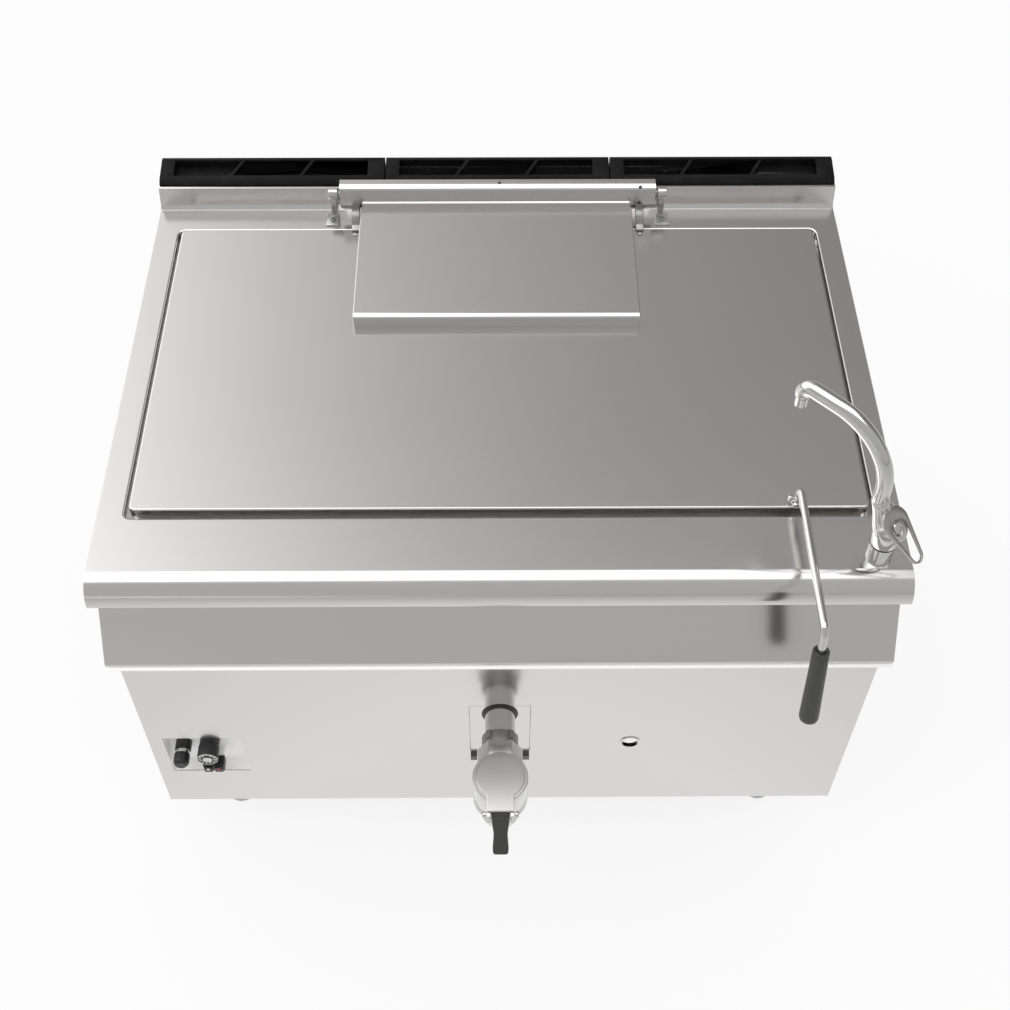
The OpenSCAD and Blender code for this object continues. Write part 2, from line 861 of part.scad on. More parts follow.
module hinge_arms() {
    face = hinge_y - housing_d / 2;
    color("dimgray") for (s = [-1, 1]) translate([s * arm_x, 0, 0]) across(arm_t)
        polygon([[face, hinge_z - 4], [face, hinge_z - 20], [face - 34, lid_z],
            [face - 54, lid_z], [face - 54, lid_z + 8], [face - 30, lid_z + 26]]);
}

cover_back = hinge_y - housing_d / 2 - face_gap;
cover_front = cover_back - cover_d;
cover_bend = 6;

module hinge_cover() {
    front_z = lid_z + cover_h;
    back_z = front_z + 7.5;
    seat_y = lid_y + lid_d / 2 - 6;
    top = concat([[cover_front, lid_z]],
        arc([cover_front + cover_bend, front_z - cover_bend], cover_bend, 180, 90),
        [[cover_back - 8, back_z], [cover_back, back_z + 2.2]]);
    color("silver") {
        across(cover_w) folded(top, lid_sheet);
        for (s = [-1, 1]) translate([s * (cover_w - lid_sheet) / 2, 0, 0]) across(lid_sheet)
            polygon(concat(top, [[cover_back, hinge_z - housing_h / 2 + 2], [seat_y, lid_z]]));
    }
}

module hinge_housing() {
    color("silver") translate([0, hinge_y, hinge_z]) difference() {
        across(housing_w) {
            square([housing_d, housing_h - 2 * housing_r], center = true);
            square([housing_d - 2 * housing_r, housing_h], center = true);
            for (y = [-1, 1], z = [-1, 1])
                translate([y * (housing_d / 2 - housing_r), z * (housing_h / 2 - housing_r)])
                    circle(housing_r);
        }
        across(housing_w - 2 * sheet) {
            square([housing_d - 2 * sheet, housing_h - 2 * housing_r], center = true);
            square([housing_d - 2 * housing_r, housing_h - 2 * sheet], center = true);
        }
        rod_across(shaft_r + run_gap, housing_w + 2 * cut);
    }
}

rod_back = lid_y - lid_d / 2 + 10;
rod_front = rod_back - rod_run;
rod_z = top_z + rod_h;
rod_bend = 14;
rod_drop = 26;

module handle_rod() {
    lap = 1;
    color("silver") translate([handle_x, 0, 0]) {
        translate([0, rod_back, lid_z]) cylinder(r = rod_r, h = rod_h - lid_rise);
        translate([0, rod_back, rod_z]) sphere(rod_r + 0.5);
        translate([0, rod_back, rod_z]) rod_forward(rod_r, rod_run - rod_bend + lap);
        translate([0, rod_back, lid_z]) cylinder(r = 10, h = 3);
        translate([0, rod_front + rod_bend, rod_z - rod_bend]) rotate([0, 0, 180])
            rotate([90, 0, 90]) rotate([0, 0, grip_lean]) rotate_extrude(angle = 90 - grip_lean)
                translate([rod_bend, 0]) circle(rod_r + 0.4);
        grip_line() translate([0, 0, -rod_drop]) cylinder(r = rod_r, h = rod_drop + lap);
    }
}

// The lower end of the rod and the grip share one leaning line
module grip_line() {
    translate([0, rod_front + rod_bend - rod_bend * cos(grip_lean),
        rod_z - rod_bend + rod_bend * sin(grip_lean)])
        rotate([-grip_lean, 0, 0]) children();
}

module handle_grip() {
    color("#3a3a38") translate([handle_x, 0, 0]) grip_line() translate([0, 0, -rod_drop])
        rotate_extrude() polygon(concat([[0, 0], [10, 0], [12, -2], [12, -8], [11, -10]],
            arc([14.5 - 6, -grip_len + 6], 6, 0, -90, 6), [[0, -grip_len]]));
}

/* Filling tap */

// Local frame: x towards the nozzle, z up
module at_tap() {
    translate([tap_x, tap_y, 0]) rotate([0, 0, spout_dir]) children();
}

module tap_base() {
    color("silver") at_tap() {
        translate([0, 0, top_z]) cylinder(r = column_r, h = column_h);
        translate([0, 0, top_z]) cylinder(r = column_r + 4, h = 3);
        translate([0, 0, tail_z]) cylinder(r = 10, h = top_z - tail_z);
        translate([0, 0, top_z - sheet - 10]) cylinder(r = 17, h = 10, $fn = 6);
        translate([0, 0, top_z + column_h]) cylinder(r = 8, h = 12);
    }
}

module tap_head() {
    stub_l = (pivot_s * sin(-lever_slope) + (pivot_z - head_z) * cos(lever_slope))
        - plate_t / 2 - 1.5;
    color("silver") at_tap() difference() {
        union() {
            translate([0, 0, head_low]) cylinder(r = head_r, h = head_z - head_low);
            translate([0, 0, head_z]) sphere(head_r);
            translate([head_in, 0, head_z]) head_branch() cylinder(r = branch_r, h = branch_len);
            translate([0, 0, head_z]) rotate([0, -lever_slope, 0]) {
                cylinder(r = 17.5, h = stub_l);
                cylinder(r = 8, h = stub_l + 3);
            }
            for (s = [-1, 1]) at_pivot() translate([0, s * (ear_y + ear_t / 2), 0])
                rotate([90, 0, 0]) cylinder(r = barrel_r, h = ear_t, center = true);
        }
        translate([0, 0, head_low - cut]) cylinder(r = 8 + run_gap, h = 14);
        at_pivot() rotate([90, 0, 0]) cylinder(r = pin_r + run_gap, h = 30, center = true);
        at_pivot() translate([-10, -ear_y, -barrel_r - face_gap])
            cube([10 + barrel_r + 1, 2 * ear_y, 15]);
    }
}

barrel_r = 4;
pin_r = 2;
ear_y = 7.3;
ear_t = 4;
branch_r = 13;
branch_rise = spout_h - spout_bend - 22 - 66;
branch_len = norm([riser_s - head_in, branch_rise]);

module head_branch() {
    rotate([0, atan2(riser_s - head_in, branch_rise), 0]) children();
}

// The lever's pin, with -x running down the lever and z standing on its plate
module at_pivot() {
    translate([pivot_s, 0, pivot_z]) rotate([0, -lever_slope, 0]) children();
}

module tap_spout() {
    riser_top = top_z + spout_h - spout_bend;
    riser_low = head_z + branch_rise;
    color("silver") at_tap() difference() {
        union() {
            translate([riser_s, 0, riser_low]) sphere(branch_r);
            translate([riser_s, 0, riser_low]) cylinder(r = spout_r, h = riser_top - riser_low);
            translate([riser_s + spout_bend, 0, riser_top]) rotate([90, 0, 0]) rotate([0, 0, 90])
                rotate_extrude(angle = 90) translate([spout_bend, 0]) circle(spout_r);
            translate([riser_s + spout_bend, 0, top_z + spout_h]) rotate([0, 90, 0])
                cylinder(r = spout_r, h = spout_reach - riser_s - spout_bend - 4);
            translate([spout_reach - 4, 0, top_z + spout_h]) sphere(spout_r);
            translate([spout_reach, 0, nozzle_end]) cylinder(r = nozzle_r, h = top_z + spout_h - nozzle_end);
            translate([spout_reach, 0, nozzle_end]) cylinder(r = tip_r, h = tip_l);
        }
        translate([spout_reach, 0, nozzle_end - cut]) cylinder(r = nozzle_r - 2, h = 16);
        translate([head_in, 0, head_z]) head_branch() cylinder(r = branch_r + 1, h = branch_len);
    }
}

lever_len = 79;
lever_head_r = 21;
lever_end_r = 12.5;

module tap_lever() {
    color("silver") at_tap() at_pivot() rotate([0, 0, 180]) {
        rotate([90, 0, 0]) cylinder(r = pin_r, h = 2 * (ear_y + ear_t), center = true);
        rotate([90, 0, 0]) cylinder(r = barrel_r, h = 2 * ear_y - 2 * face_gap, center = true);
        translate([0, -ear_y + face_gap, -plate_t / 2])
            cube([barrel_r + 2, 2 * (ear_y - face_gap), plate_t]);
        translate([0, 0, -plate_t / 2]) linear_extrude(plate_t) difference() {
            hull() {
                translate([13, 0]) circle(lever_head_r, $fn = 40);
                translate([lever_len, 0]) circle(lever_end_r, $fn = 40);
            }
            hull() {
                translate([34, 0]) circle(12, $fn = 32);
                translate([lever_len, 0]) circle(8.5, $fn = 32);
            }
            translate([-20 + barrel_r + 1, -30]) square([20, 60]);
        }
    }
}

/* Drain tap */

module drain_pipe() {
    back = well_front + 0;
    l = back - nut_y + nut_l - 4;
    color("silver") translate([0, back, drain_z]) difference() {
        rod_forward(drain_r, l);
        translate([0, cut, 0]) rod_forward(bore_r, l + 2 * cut);
    }
}

module drain_ring() {
    color("silver") translate([0, ring_y, drain_z]) difference() {
        union() {
            rod_forward(drain_r + 5, ring_l);
            for (s = [-1, 1]) rotate([0, s * 36, 0]) translate([-4, -14, drain_r + 2])
                cube([8, 14, 6]);
        }
        translate([0, cut, 0]) rod_forward(drain_r, ring_l + 2 * cut);
    }
}

module drain_nut() {
    color("silver") translate([0, nut_y, drain_z]) difference() {
        intersection() {
            rotate([0, 30, 0]) rotate([90, 0, 0]) cylinder(d = nut_flat / cos(30), h = nut_l, $fn = 6);
            rotate([90, 0, 0]) rotate_extrude() polygon([[0, 0], [nut_flat / 2 - 1, 0],
                [nut_flat / 2 + 5, 5], [nut_flat / 2 + 5, nut_l - 5], [nut_flat / 2 - 1, nut_l],
                [0, nut_l]]);
        }
        translate([0, cut, 0]) rod_forward(drain_r, nut_l + 2 * cut);
    }
}

drum_top = cap_z - cap_t;
cone_top = drain_z - 21;
cone_low = drain_z - 46;
mouth_z = drain_z - outlet_down;
drum_wall = 5;
slot_half = 10;

module drain_body() {
    neck = valve_y + drum_r - 6;
    color("silver") translate([0, valve_y, 0]) difference() {
        union() {
            rotate_extrude() polygon([[0, mouth_z], [outlet_r, mouth_z], [outlet_r, cone_low],
                [drum_r, cone_top], [drum_r, drum_top], [0, drum_top]]);
            translate([0, nut_y - nut_l - valve_y, drain_z])
                rod_forward(drain_r + 3, nut_y - nut_l - neck + 8);
            translate([-tongue_w / 2, -tongue_out + 8, drum_top - 10])
                cube([tongue_w, tongue_out - 28, 10]);
        }
        rotate_extrude() polygon([[0, mouth_z - cut], [seat_low_r, mouth_z - cut],
            [seat_low_r, seat_z - 6], [seat_high_r, seat_z + 6],
            [seat_high_r, drum_top + cut], [0, drum_top + cut]]);
        translate([0, drum_r + 20, drain_z]) rod_forward(bore_r, drum_r + 20);
        translate([-slot_half, -tongue_out - 12, drum_top - 46]) cube([2 * slot_half, tongue_out, 47]);
    }
}

module drain_cap() {
    color("silver") {
        translate([0, valve_y, drum_top]) linear_extrude(cap_t) {
            circle(drum_r);
            translate([-tongue_w / 2, -tongue_out - 6]) square([tongue_w, tongue_out]);
        }
        difference() {
            for (s = [-1, 1]) translate([s * (tongue_w / 2 - 3), fork_y, fork_z])
                across(6) {
                    circle(9);
                    translate([-9, 0]) square([18, 12]);
                }
            translate([0, fork_y, fork_z]) rod_across(3.5 + run_gap, tongue_w + 2 * cut);
        }
    }
}

module drain_lever() {
    color("#3a3a38") translate([0, fork_y, fork_z]) {
        rod_across(3.5, tongue_w + 10);
        for (s = [-1, 1]) translate([s * (tongue_w / 2 + 3.2), 0, 0]) rod_across(6, 4);
        rod_across(8, 29);
        lever_handle();
        difference() {
            rotate([crank_drop, 0, 0]) translate([-8, 0, -3]) cube([16, crank_arm + 9, 6]);
            rotate([crank_drop, 0, 0]) translate([-5.6, crank_arm - 13, -5]) cube([11.2, 40, 10]);
        }
    }
}

crank_drop = -24;
fork_reach = valve_y - fork_y;
crank_arm = fork_reach / cos(crank_drop);
handle_reach = handle_out - (valve_y - fork_y);
handle_slope = 58;
handle_end_r = 6;
handle_len = (handle_reach - handle_end_r) / cos(handle_slope);

module lever_handle() {
    rotate([handle_slope, 0, 0]) rotate([0, 0, -90]) {
        translate([0, 0, -handle_end_r + 0.3]) linear_extrude(2 * handle_end_r - 0.6) polygon([
            [0, -14], [12, -14], [30, -11.5], [handle_len - 10, -13],
            [handle_len, -12.5], [handle_len, 12.5], [handle_len - 10, 13],
            [30, 11.5], [12, 14], [0, 14]]);
        translate([handle_len, 0, 0]) rotate([90, 0, 0])
            cylinder(r = handle_end_r, h = 24, center = true);
    }
}

seat_low_r = outlet_r - drum_wall;
seat_high_r = drum_r - drum_wall - 2;
plug_lift = 2;
plug_r = seat_low_r + (seat_high_r - seat_low_r) * (6 + plug_lift) / 12 - 0.4;
collar_r = 9;

module drain_plug() {
    low = seat_z + plug_lift;
    collar_z = fork_z + (fork_reach - collar_r) * tan(crank_drop) + 3 / cos(crank_drop) + 0.5;
    color("goldenrod") translate([0, valve_y, 0]) {
        translate([0, 0, low]) cylinder(r = plug_r, h = 6);
        translate([0, 0, low]) cylinder(r = 5, h = collar_z - low);
        translate([0, 0, collar_z]) cylinder(r = collar_r, h = 3);
    }
}

/* Controls */

module igniter_body() {
    color("#2b2b2b") {
        translate([igniter_x, recess_floor + 30, igniter_z]) rod_forward(8.9, 30);
        difference() {
            translate([igniter_x, recess_floor, igniter_z])
                rod_forward(igniter_r + 1, recess_d - 6);
            translate([igniter_x, recess_floor - 8, igniter_z]) rod_forward(6.1, recess_d);
        }
    }
}

module igniter_button() {
    front = recess_floor - recess_d + 6 - igniter_travel - 1;
    color("#2b2b2b") {
        translate([igniter_x, front, igniter_z]) rod_forward(igniter_r, front - control_y);
        translate([igniter_x, front + 9, igniter_z]) rod_forward(6, 10);
    }
}

module thermostat_knob() {
    back = recess_floor - 4;
    color("#2b2b2b") difference() {
        union() {
            translate([knob_x, back, knob_z]) rod_forward(knob_r - 1, 16);
            translate([knob_x, back - 15, knob_z]) rod_forward(knob_r, back - 15 - control_y);
        }
        translate([knob_x, back + cut, knob_z])
            rod_forward(spindle_r + run_gap, back - control_y - 4);
    }
}

module switch_block() {
    color("#2b2b2b") difference() {
        translate([switch_x, recess_floor, switch_z])
            forward(recess_floor - control_y - button_out) square([switch_w, switch_h], center = true);
        for (s = [-1, 1]) translate([switch_x + s * switch_w / 4, control_y + 14, switch_z])
            forward(20) square([button_w + 2 * face_gap, button_h + 2 * face_gap], center = true);
    }
}

module push_button(s) {
    color("#2b2b2b") translate([switch_x + s * switch_w / 4, control_y + 13 - button_travel, switch_z])
        forward(13 - button_travel) square([button_w, button_h], center = true);
}

module start_button() {
    push_button(-1);
}

module stop_button() {
    push_button(1);
}

worktop();
control_fascia();
front_panel();
slot_cover();
slot_cover_clips();
control_recess();
inspection_ring();
left_side_panel();
right_side_panel();
rear_panel();
base_rails_long();
base_rails_side();
leg_sockets();
foot_front_left();
foot_front_right();
foot_rear_left();
foot_rear_right();
flue_grille_left();
flue_grille_centre();
flue_grille_right();
flue_meshes();
flue_duct();
vessel();
vessel_strainer();
combustion_chamber();
insulation_slabs();
burners();
gas_manifold();
gas_valve();
pilot_burner();
gas_inlet_pipe();
water_inlet_pipe();
hinge_brackets();
hinge_shaft();
hinge_springs();
bracket_screws();
igniter_body();
switch_block();
drain_pipe();
drain_ring();
drain_nut();
drain_body();
drain_cap();
drain_lever();
drain_plug();
lid_panel();
lid_liner();
hinge_arms();
hinge_cover();
hinge_housing();
handle_rod();
handle_grip();
tap_base();
tap_head();
tap_spout();
tap_lever();
thermostat_knob();
igniter_button();
start_button();
stop_button();
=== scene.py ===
# %% [markdown]
# # A gas boiling pan, dressed in Blender
#
# The pan is a catering machine: a steel cabinet with a rectangular well under a balanced lid. Its
# solids come from a CAD model, which sets every size and every joint. This notebook gives them the
# finishes and the fine parts that the eye looks for, such as rounded sheet edges, screws, ticks on
# the dial and the bend of the spout. The first cell loads the CAD parts as Blender objects.

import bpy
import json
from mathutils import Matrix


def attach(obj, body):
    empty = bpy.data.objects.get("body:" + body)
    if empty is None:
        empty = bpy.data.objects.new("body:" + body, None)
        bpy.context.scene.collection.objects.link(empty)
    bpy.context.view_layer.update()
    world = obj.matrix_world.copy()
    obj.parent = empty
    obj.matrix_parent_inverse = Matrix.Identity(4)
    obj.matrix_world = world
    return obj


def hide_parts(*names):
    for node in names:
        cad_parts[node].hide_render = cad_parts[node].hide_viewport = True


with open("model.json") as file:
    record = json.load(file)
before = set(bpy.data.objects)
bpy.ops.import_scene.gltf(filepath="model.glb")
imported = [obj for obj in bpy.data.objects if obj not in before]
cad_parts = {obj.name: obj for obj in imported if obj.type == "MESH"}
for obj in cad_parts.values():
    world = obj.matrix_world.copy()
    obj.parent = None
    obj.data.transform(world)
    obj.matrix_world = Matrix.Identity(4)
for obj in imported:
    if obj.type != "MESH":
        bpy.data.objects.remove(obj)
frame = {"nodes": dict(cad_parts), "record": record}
print("loaded", len(frame["nodes"]), "CAD nodes")

# %% [markdown]
# ## Tools and the frame
#
# The pieces are modelled with bmesh, because its operators spin, extrude and bevel without any
# selection.

# %% Tools and the frame
import json
import math

import bmesh
import bpy
from mathutils import Matrix, Vector

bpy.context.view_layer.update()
nodes = frame["nodes"]

# %% [markdown]
# ## The camera
#
# The camera stands in front of the pan and well above it, and looks 52 degrees down. Its place was
# worked out from the straight edges of the object, so it is written as a place, three angles and a
# lens. Turning a camera with a matrix avoids any doubt about the order of the angles.

# %% The camera
CAMERA_PLACE = (-0.00614, -1.53182, 2.55361)
LOOK_DOWN = math.radians(51.84)
LOOK_RIGHT = math.radians(0.6175)
TILT = math.radians(0.2534)
FILM_WIDTH = 36
FOCAL_LENGTH = 51.51

camera_data = bpy.data.cameras.new("camera")
camera_data.sensor_width = FILM_WIDTH
camera_data.lens = FOCAL_LENGTH
camera = bpy.data.objects.new("camera", camera_data)
bpy.context.scene.collection.objects.link(camera)
camera.matrix_world = (
    Matrix.Translation(CAMERA_PLACE)
    @ Matrix.Rotation(-LOOK_RIGHT, 4, "Z")
    @ Matrix.Rotation(math.pi / 2 - LOOK_DOWN, 4, "X")
    @ Matrix.Rotation(TILT, 4, "Z")
)
bpy.context.scene.camera = camera
bpy.context.scene.view_settings.view_transform = "Standard"
print("camera looks along", [round(v, 3) for v in camera.matrix_world.to_3x3() @ Vector((0, 0, -1))])

# %% [markdown]
# ## Writing a finish as a sum
#
# A finish is a small network of nodes. Long networks are hard to read when each link is a line of
# its own, so a `Wire` stands for one output of a node and takes the plain signs of arithmetic:
# `1 - grain` adds a Math node by itself. `Shader` holds the one method that makes any other node. A
# Mix node has sockets of the same name for numbers and colours, so `blend` finds them by number.

# %% Wires and shaders
MIX_FIRST, MIX_SECOND, MIX_COLOUR = 6, 7, 2


class Wire:
    """One output of a node, which can be added, multiplied and so on."""

    def __init__(self, shader, socket):
        self.shader = shader
        self.socket = socket

    def __add__(self, other):
        return self.shader.maths("ADD", self, other)

    def __sub__(self, other):
        return self.shader.maths("SUBTRACT", self, other)

    def __mul__(self, other):
        return self.shader.maths("MULTIPLY", self, other)

    def __truediv__(self, other):
        return self.shader.maths("DIVIDE", self, other)

    def __rsub__(self, other):
        return self.shader.maths("SUBTRACT", other, self)

    def __rtruediv__(self, other):
        return self.shader.maths("DIVIDE", other, self)

    __radd__ = __add__
    __rmul__ = __mul__

    def clamp(self, low=0.0, high=1.0):
        return self.shader.maths("MINIMUM", self.shader.maths("MAXIMUM", self, low), high)

    def step(self, start, end):
        """0 before start, 1 after end, and a smooth change between them."""
        settings = {"interpolation_type": "SMOOTHSTEP"}
        values = {"Value": self, "From Min": start, "From Max": end}
        return self.shader.node("ShaderNodeMapRange", settings, values)["Result"]


class Node:
    """A node whose outputs are read by name, as wires."""

    def __init__(self, shader, node):
        self.shader = shader
        self.node = node

    def __getitem__(self, name):
        return Wire(self.shader, self.node.outputs[name])


class Shader:
    """The node tree of a finish or of the world."""

    def __init__(self, tree):
        self.tree = tree
        self.tree.nodes.clear()

    def feed(self, socket, value):
        if isinstance(value, Wire):
            self.tree.links.new(value.socket, socket)
        else:
            socket.default_value = value

    def node(self, kind, settings=None, values=None):
        made = self.tree.nodes.new(kind)
        for name, value in (settings or {}).items():
            setattr(made, name, value)
        for name, value in (values or {}).items():
            self.feed(made.inputs[name], value)
        return Node(self, made)

    def maths(self, operation, first, second=0.0):
        made = self.tree.nodes.new("ShaderNodeMath")
        made.operation = operation
        self.feed(made.inputs[0], first)
        self.feed(made.inputs[1], second)
        return Wire(self, made.outputs[0])

    def blend(self, amount, first, second):
        """The first colour where amount is 0 and the second where it is 1."""
        made = self.tree.nodes.new("ShaderNodeMix")
        made.data_type = "RGBA"
        self.feed(made.inputs["Factor"], amount)
        self.feed(made.inputs[MIX_FIRST], (*first, 1))
        self.feed(made.inputs[MIX_SECOND], (*second, 1))
        return Wire(self, made.outputs[MIX_COLOUR])


print("wires and shaders are ready")

# %% [markdown]
# ## What every finish shares
#
# Each finish reads Object coordinates, because a part's own mesh keeps them when the part moves. A
# noise that is stretched along one axis gives the fine lines that rolling and brushing leave in a
# sheet, and a broad noise gives the faint clouding of a wiped surface.

# %% The base of a finish
class Finish(Shader):
    """A material with one Principled shader, and helpers for the patterns on it."""

    def __init__(self, name, **constants):
        self.material = bpy.data.materials.new(name)
        self.material.use_nodes = True
        super().__init__(self.material.node_tree)
        self.surface = self.node("ShaderNodeBsdfPrincipled")
        for socket, value in constants.items():
            self.surface.node.inputs[self.titled(socket)].default_value = value
        output = self.node("ShaderNodeOutputMaterial")
        self.tree.links.new(self.surface.node.outputs["BSDF"], output.node.inputs["Surface"])
        self.place = self.node("ShaderNodeTexCoord")["Object"]

    def titled(self, word):
        return word.replace("_", " ").title().replace("Ior", "IOR")

    def noise(self, scale, stretch=(1, 1, 1), detail=2.0, at=(0, 0, 0)):
        where = self.node("ShaderNodeMapping", {}, {"Vector": self.place, "Scale": stretch, "Location": at})
        values = {"Vector": where["Vector"], "Scale": scale, "Detail": detail, "Roughness": 0.55}
        return self.node("ShaderNodeTexNoise", {}, values)["Fac"]

    def set(self, **wires):
        for socket, value in wires.items():
            self.feed(self.surface.node.inputs[self.titled(socket)], value)

    def bump(self, height, strength, distance):
        values = {"Height": height, "Strength": strength, "Distance": distance}
        self.set(normal=self.node("ShaderNodeBump", {}, values)["Normal"])


print("a finish can be started with Finish(name)")

# %% [markdown]
# ## Stainless sheet
#
# The cabinet, the worktop and the lid are satin stainless sheet. Metal has no colour of its own
# under its reflections, so the base colour only tints them, and the look comes from roughness. The
# lines of the roll run along the sheet. They are fine and shallow, so they live in the roughness and
# in a very low bump, and a broad clouding keeps the large panels from looking like plastic. The
# control recess takes a pale matt sheet that isn't metallic: its whiteness is a painted reflection
# of bright steel, and it also lightens the shade on the recess's walls.

# %% Stainless sheet
def sheet_steel(name, stretch, tint=(0.725, 0.71, 0.70), satin=0.19, metal=1.0):
    finish = Finish(name, metallic=metal)
    lines = finish.noise(900, stretch, detail=3.0)
    cloud = finish.noise(2.6, (1, 1, 1), detail=4.0, at=(3, 1, 7))
    dull = tuple(0.955 * c for c in tint)
    finish.set(base_color=finish.blend((lines * 0.55 + cloud * 0.45).clamp(), dull, tint))
    finish.set(roughness=satin - 0.03 + lines * 0.035 + cloud * 0.03)
    finish.bump(lines, 0.12, 0.00002)
    return finish.material


ALONG_X = (0.012, 1, 1)
ALONG_Y = (1, 0.012, 1)
steel = sheet_steel("stainless_sheet", ALONG_X)
side_steel = sheet_steel("stainless_sheet_sides", ALONG_Y)
inner_steel = sheet_steel("stainless_sheet_inside", ALONG_X, tint=(0.66, 0.655, 0.645), satin=0.3)
# A pale matt white, not metallic: its whiteness is a painted reflection of bright steel, and it lightens
# the shade on the recess's walls.
pale_reflection_sheet = sheet_steel("painted_reflection_sheet", ALONG_X, tint=(0.93, 0.925, 0.92), satin=0.5, metal=0.0)
print("four sheet finishes")

# %% [markdown]
# ## Polished steel
#
# The tap, the drain valve and the handle rod are turned, cast and polished by hand. They mirror the
# room, with soft wipe marks that change the roughness a little.

# %% Polished steel
def polished(name, tint, gloss):
    finish = Finish(name, metallic=1.0)
    wipe = finish.noise(38, (1, 1, 0.6), detail=5.0)
    fine = finish.noise(620, (1, 1, 1), detail=1.0, at=(5, 2, 0))
    finish.set(base_color=finish.blend(wipe, tuple(0.93 * c for c in tint), tint))
    finish.set(roughness=gloss + wipe * 0.07 + fine * 0.025)
    finish.bump(fine * 0.4 + wipe, 0.08, 0.00006)
    return finish.material


polished_steel = polished("polished_steel", (0.70, 0.695, 0.685), 0.09)
cast_steel = polished("polished_casting", (0.60, 0.595, 0.585), 0.17)
satin_cast = polished("satin_casting", (0.62, 0.615, 0.605), 0.26)
lever_steel = polished("lever_steel", (0.50, 0.49, 0.48), 0.12)
# A dark tint that is painted shade, on the drain's lug ring and on the hinge arms under the housing; the
# roughness is the casting's own.
rough_cast_painted_shade = polished("rough_casting_painted_shade", (0.36, 0.35, 0.34), 0.36)
print("polished finishes")

# %% [markdown]
# ## Plated, dark and coated metal
#
# Rails, feet and pipes inside are zinc plated: grey, with a soft crystalline mottle that a Voronoi
# pattern gives. Springs and screws are darker. The flue grilles are enamelled in a flat black that is
# slightly wavy, like orange peel, and carries a trace of dust. They reflect so little that the edges
# of their windows only just show.

# %% Plated, dark and coated metal
def plated(name, dark, light, rough):
    finish = Finish(name, metallic=1.0)
    spangle = finish.node("ShaderNodeTexVoronoi", {}, {"Vector": finish.place, "Scale": 160.0})
    grey = finish.node("ShaderNodeSeparateColor", {}, {"Color": spangle["Color"]})["Red"]
    cloud = finish.noise(14, detail=3.0)
    finish.set(base_color=finish.blend((grey * 0.5 + cloud * 0.5).clamp(), dark, light))
    finish.set(roughness=rough + grey * 0.1)
    finish.bump(grey, 0.05, 0.0001)
    return finish.material


def enamel(name, dark, light, rough):
    finish = Finish(name, specular_ior_level=0.1)
    peel = finish.noise(240, detail=2.0)
    dust = finish.noise(30, detail=6.0, at=(1, 4, 2))
    finish.set(base_color=finish.blend(dust.step(0.4, 0.75), dark, light))
    finish.set(roughness=rough + peel * 0.12)
    finish.bump(peel, 0.1, 0.0002)
    return finish.material


plated_steel = plated("plated_steel", (0.36, 0.365, 0.37), (0.52, 0.525, 0.53), 0.3)
dark_steel = plated("dark_steel", (0.10, 0.10, 0.10), (0.17, 0.168, 0.165), 0.34)
valve_alloy = plated("valve_alloy", (0.42, 0.415, 0.40), (0.55, 0.545, 0.53), 0.42)
black_enamel = enamel("black_enamel", (0.006, 0.006, 0.006), (0.011, 0.011, 0.011), 0.5)
print("plated, dark and coated finishes")

# %% [markdown]
# ## Plastics, brass and wool
#
# The grips are moulded in a dark, slightly sparkled plastic, and the knob and the buttons in a
# smoother black. The drain plug is brass, and the heat is kept in by slabs of pressed wool, whose
# fibres a stretched noise imitates. The ticks and dots on the knob and the buttons are printed, and
# the same white paints a highlight round the knob's rim.

# %% Plastics, brass and wool
def moulded(name, dark, light, rough, grain):
    finish = Finish(name, specular_ior_level=0.45)
    leather = finish.noise(grain, detail=3.0)
    rub = finish.noise(22, detail=4.0, at=(2, 9, 4))
    finish.set(base_color=finish.blend(rub, dark, light))
    finish.set(roughness=rough + leather * 0.16)
    finish.bump(leather, 0.22, 0.0002)
    return finish.material


def pressed_wool(name, dark, light):
    finish = Finish(name, roughness=0.95, sheen_weight=0.3)
    fibres = finish.noise(320, (0.15, 1, 1), detail=6.0)
    clumps = finish.noise(24, detail=4.0)
    finish.set(base_color=finish.blend((fibres * 0.6 + clumps * 0.4).clamp(), dark, light))
    finish.bump(fibres + clumps, 0.7, 0.002)
    return finish.material


def printed(name, colour):
    finish = Finish(name)
    wear = finish.noise(900, detail=3.0)
    finish.set(base_color=finish.blend(wear.step(0.3, 0.6), tuple(0.85 * c for c in colour), colour))
    finish.set(roughness=0.4 + wear * 0.1)
    return finish.material


grip_plastic = moulded("grip_plastic", (0.030, 0.030, 0.029), (0.046, 0.046, 0.044), 0.34, 900)
control_plastic = moulded("control_plastic", (0.012, 0.012, 0.012), (0.022, 0.022, 0.022), 0.26, 1200)
brass = polished("brass", (0.72, 0.52, 0.22), 0.22)
wool = pressed_wool("insulation_wool", (0.34, 0.27, 0.13), (0.66, 0.57, 0.34))
# This white serves the printed ticks and dots, and also paints a highlight round the knob's rim.
mark_white = printed("mark_white", (0.8, 0.8, 0.79))
mark_red = printed("mark_red", (0.55, 0.03, 0.02))
print("plastics, brass and wool")

# %% [markdown]
# ## Giving the CAD parts their finishes
#
# Every CAD part names a material slot, so one table turns slots into finishes. Two sheets run from
# front to back and take the lines of their own direction.

# %% Finishes by slot
FINISH_OF = {
    "steel": steel,
    "inner_steel": inner_steel,
    "polished_steel": polished_steel,
    "plated_steel": plated_steel,
    "dark_steel": dark_steel,
    "black_enamel": black_enamel,
    "wool": wool,
    "valve_alloy": valve_alloy,
    "brass": brass,
    "grip_plastic": grip_plastic,
    "control_plastic": control_plastic,
}
slot_of = {name: piece.data.materials[0].name.split(".")[0] for name, piece in nodes.items()}
for name, piece in nodes.items():
    piece.data.materials[0] = FINISH_OF[slot_of[name]]
for name in ("left_side_panel", "right_side_panel"):
    nodes[name].data.materials[0] = side_steel
print("slots in use:", sorted(set(slot_of.values())))

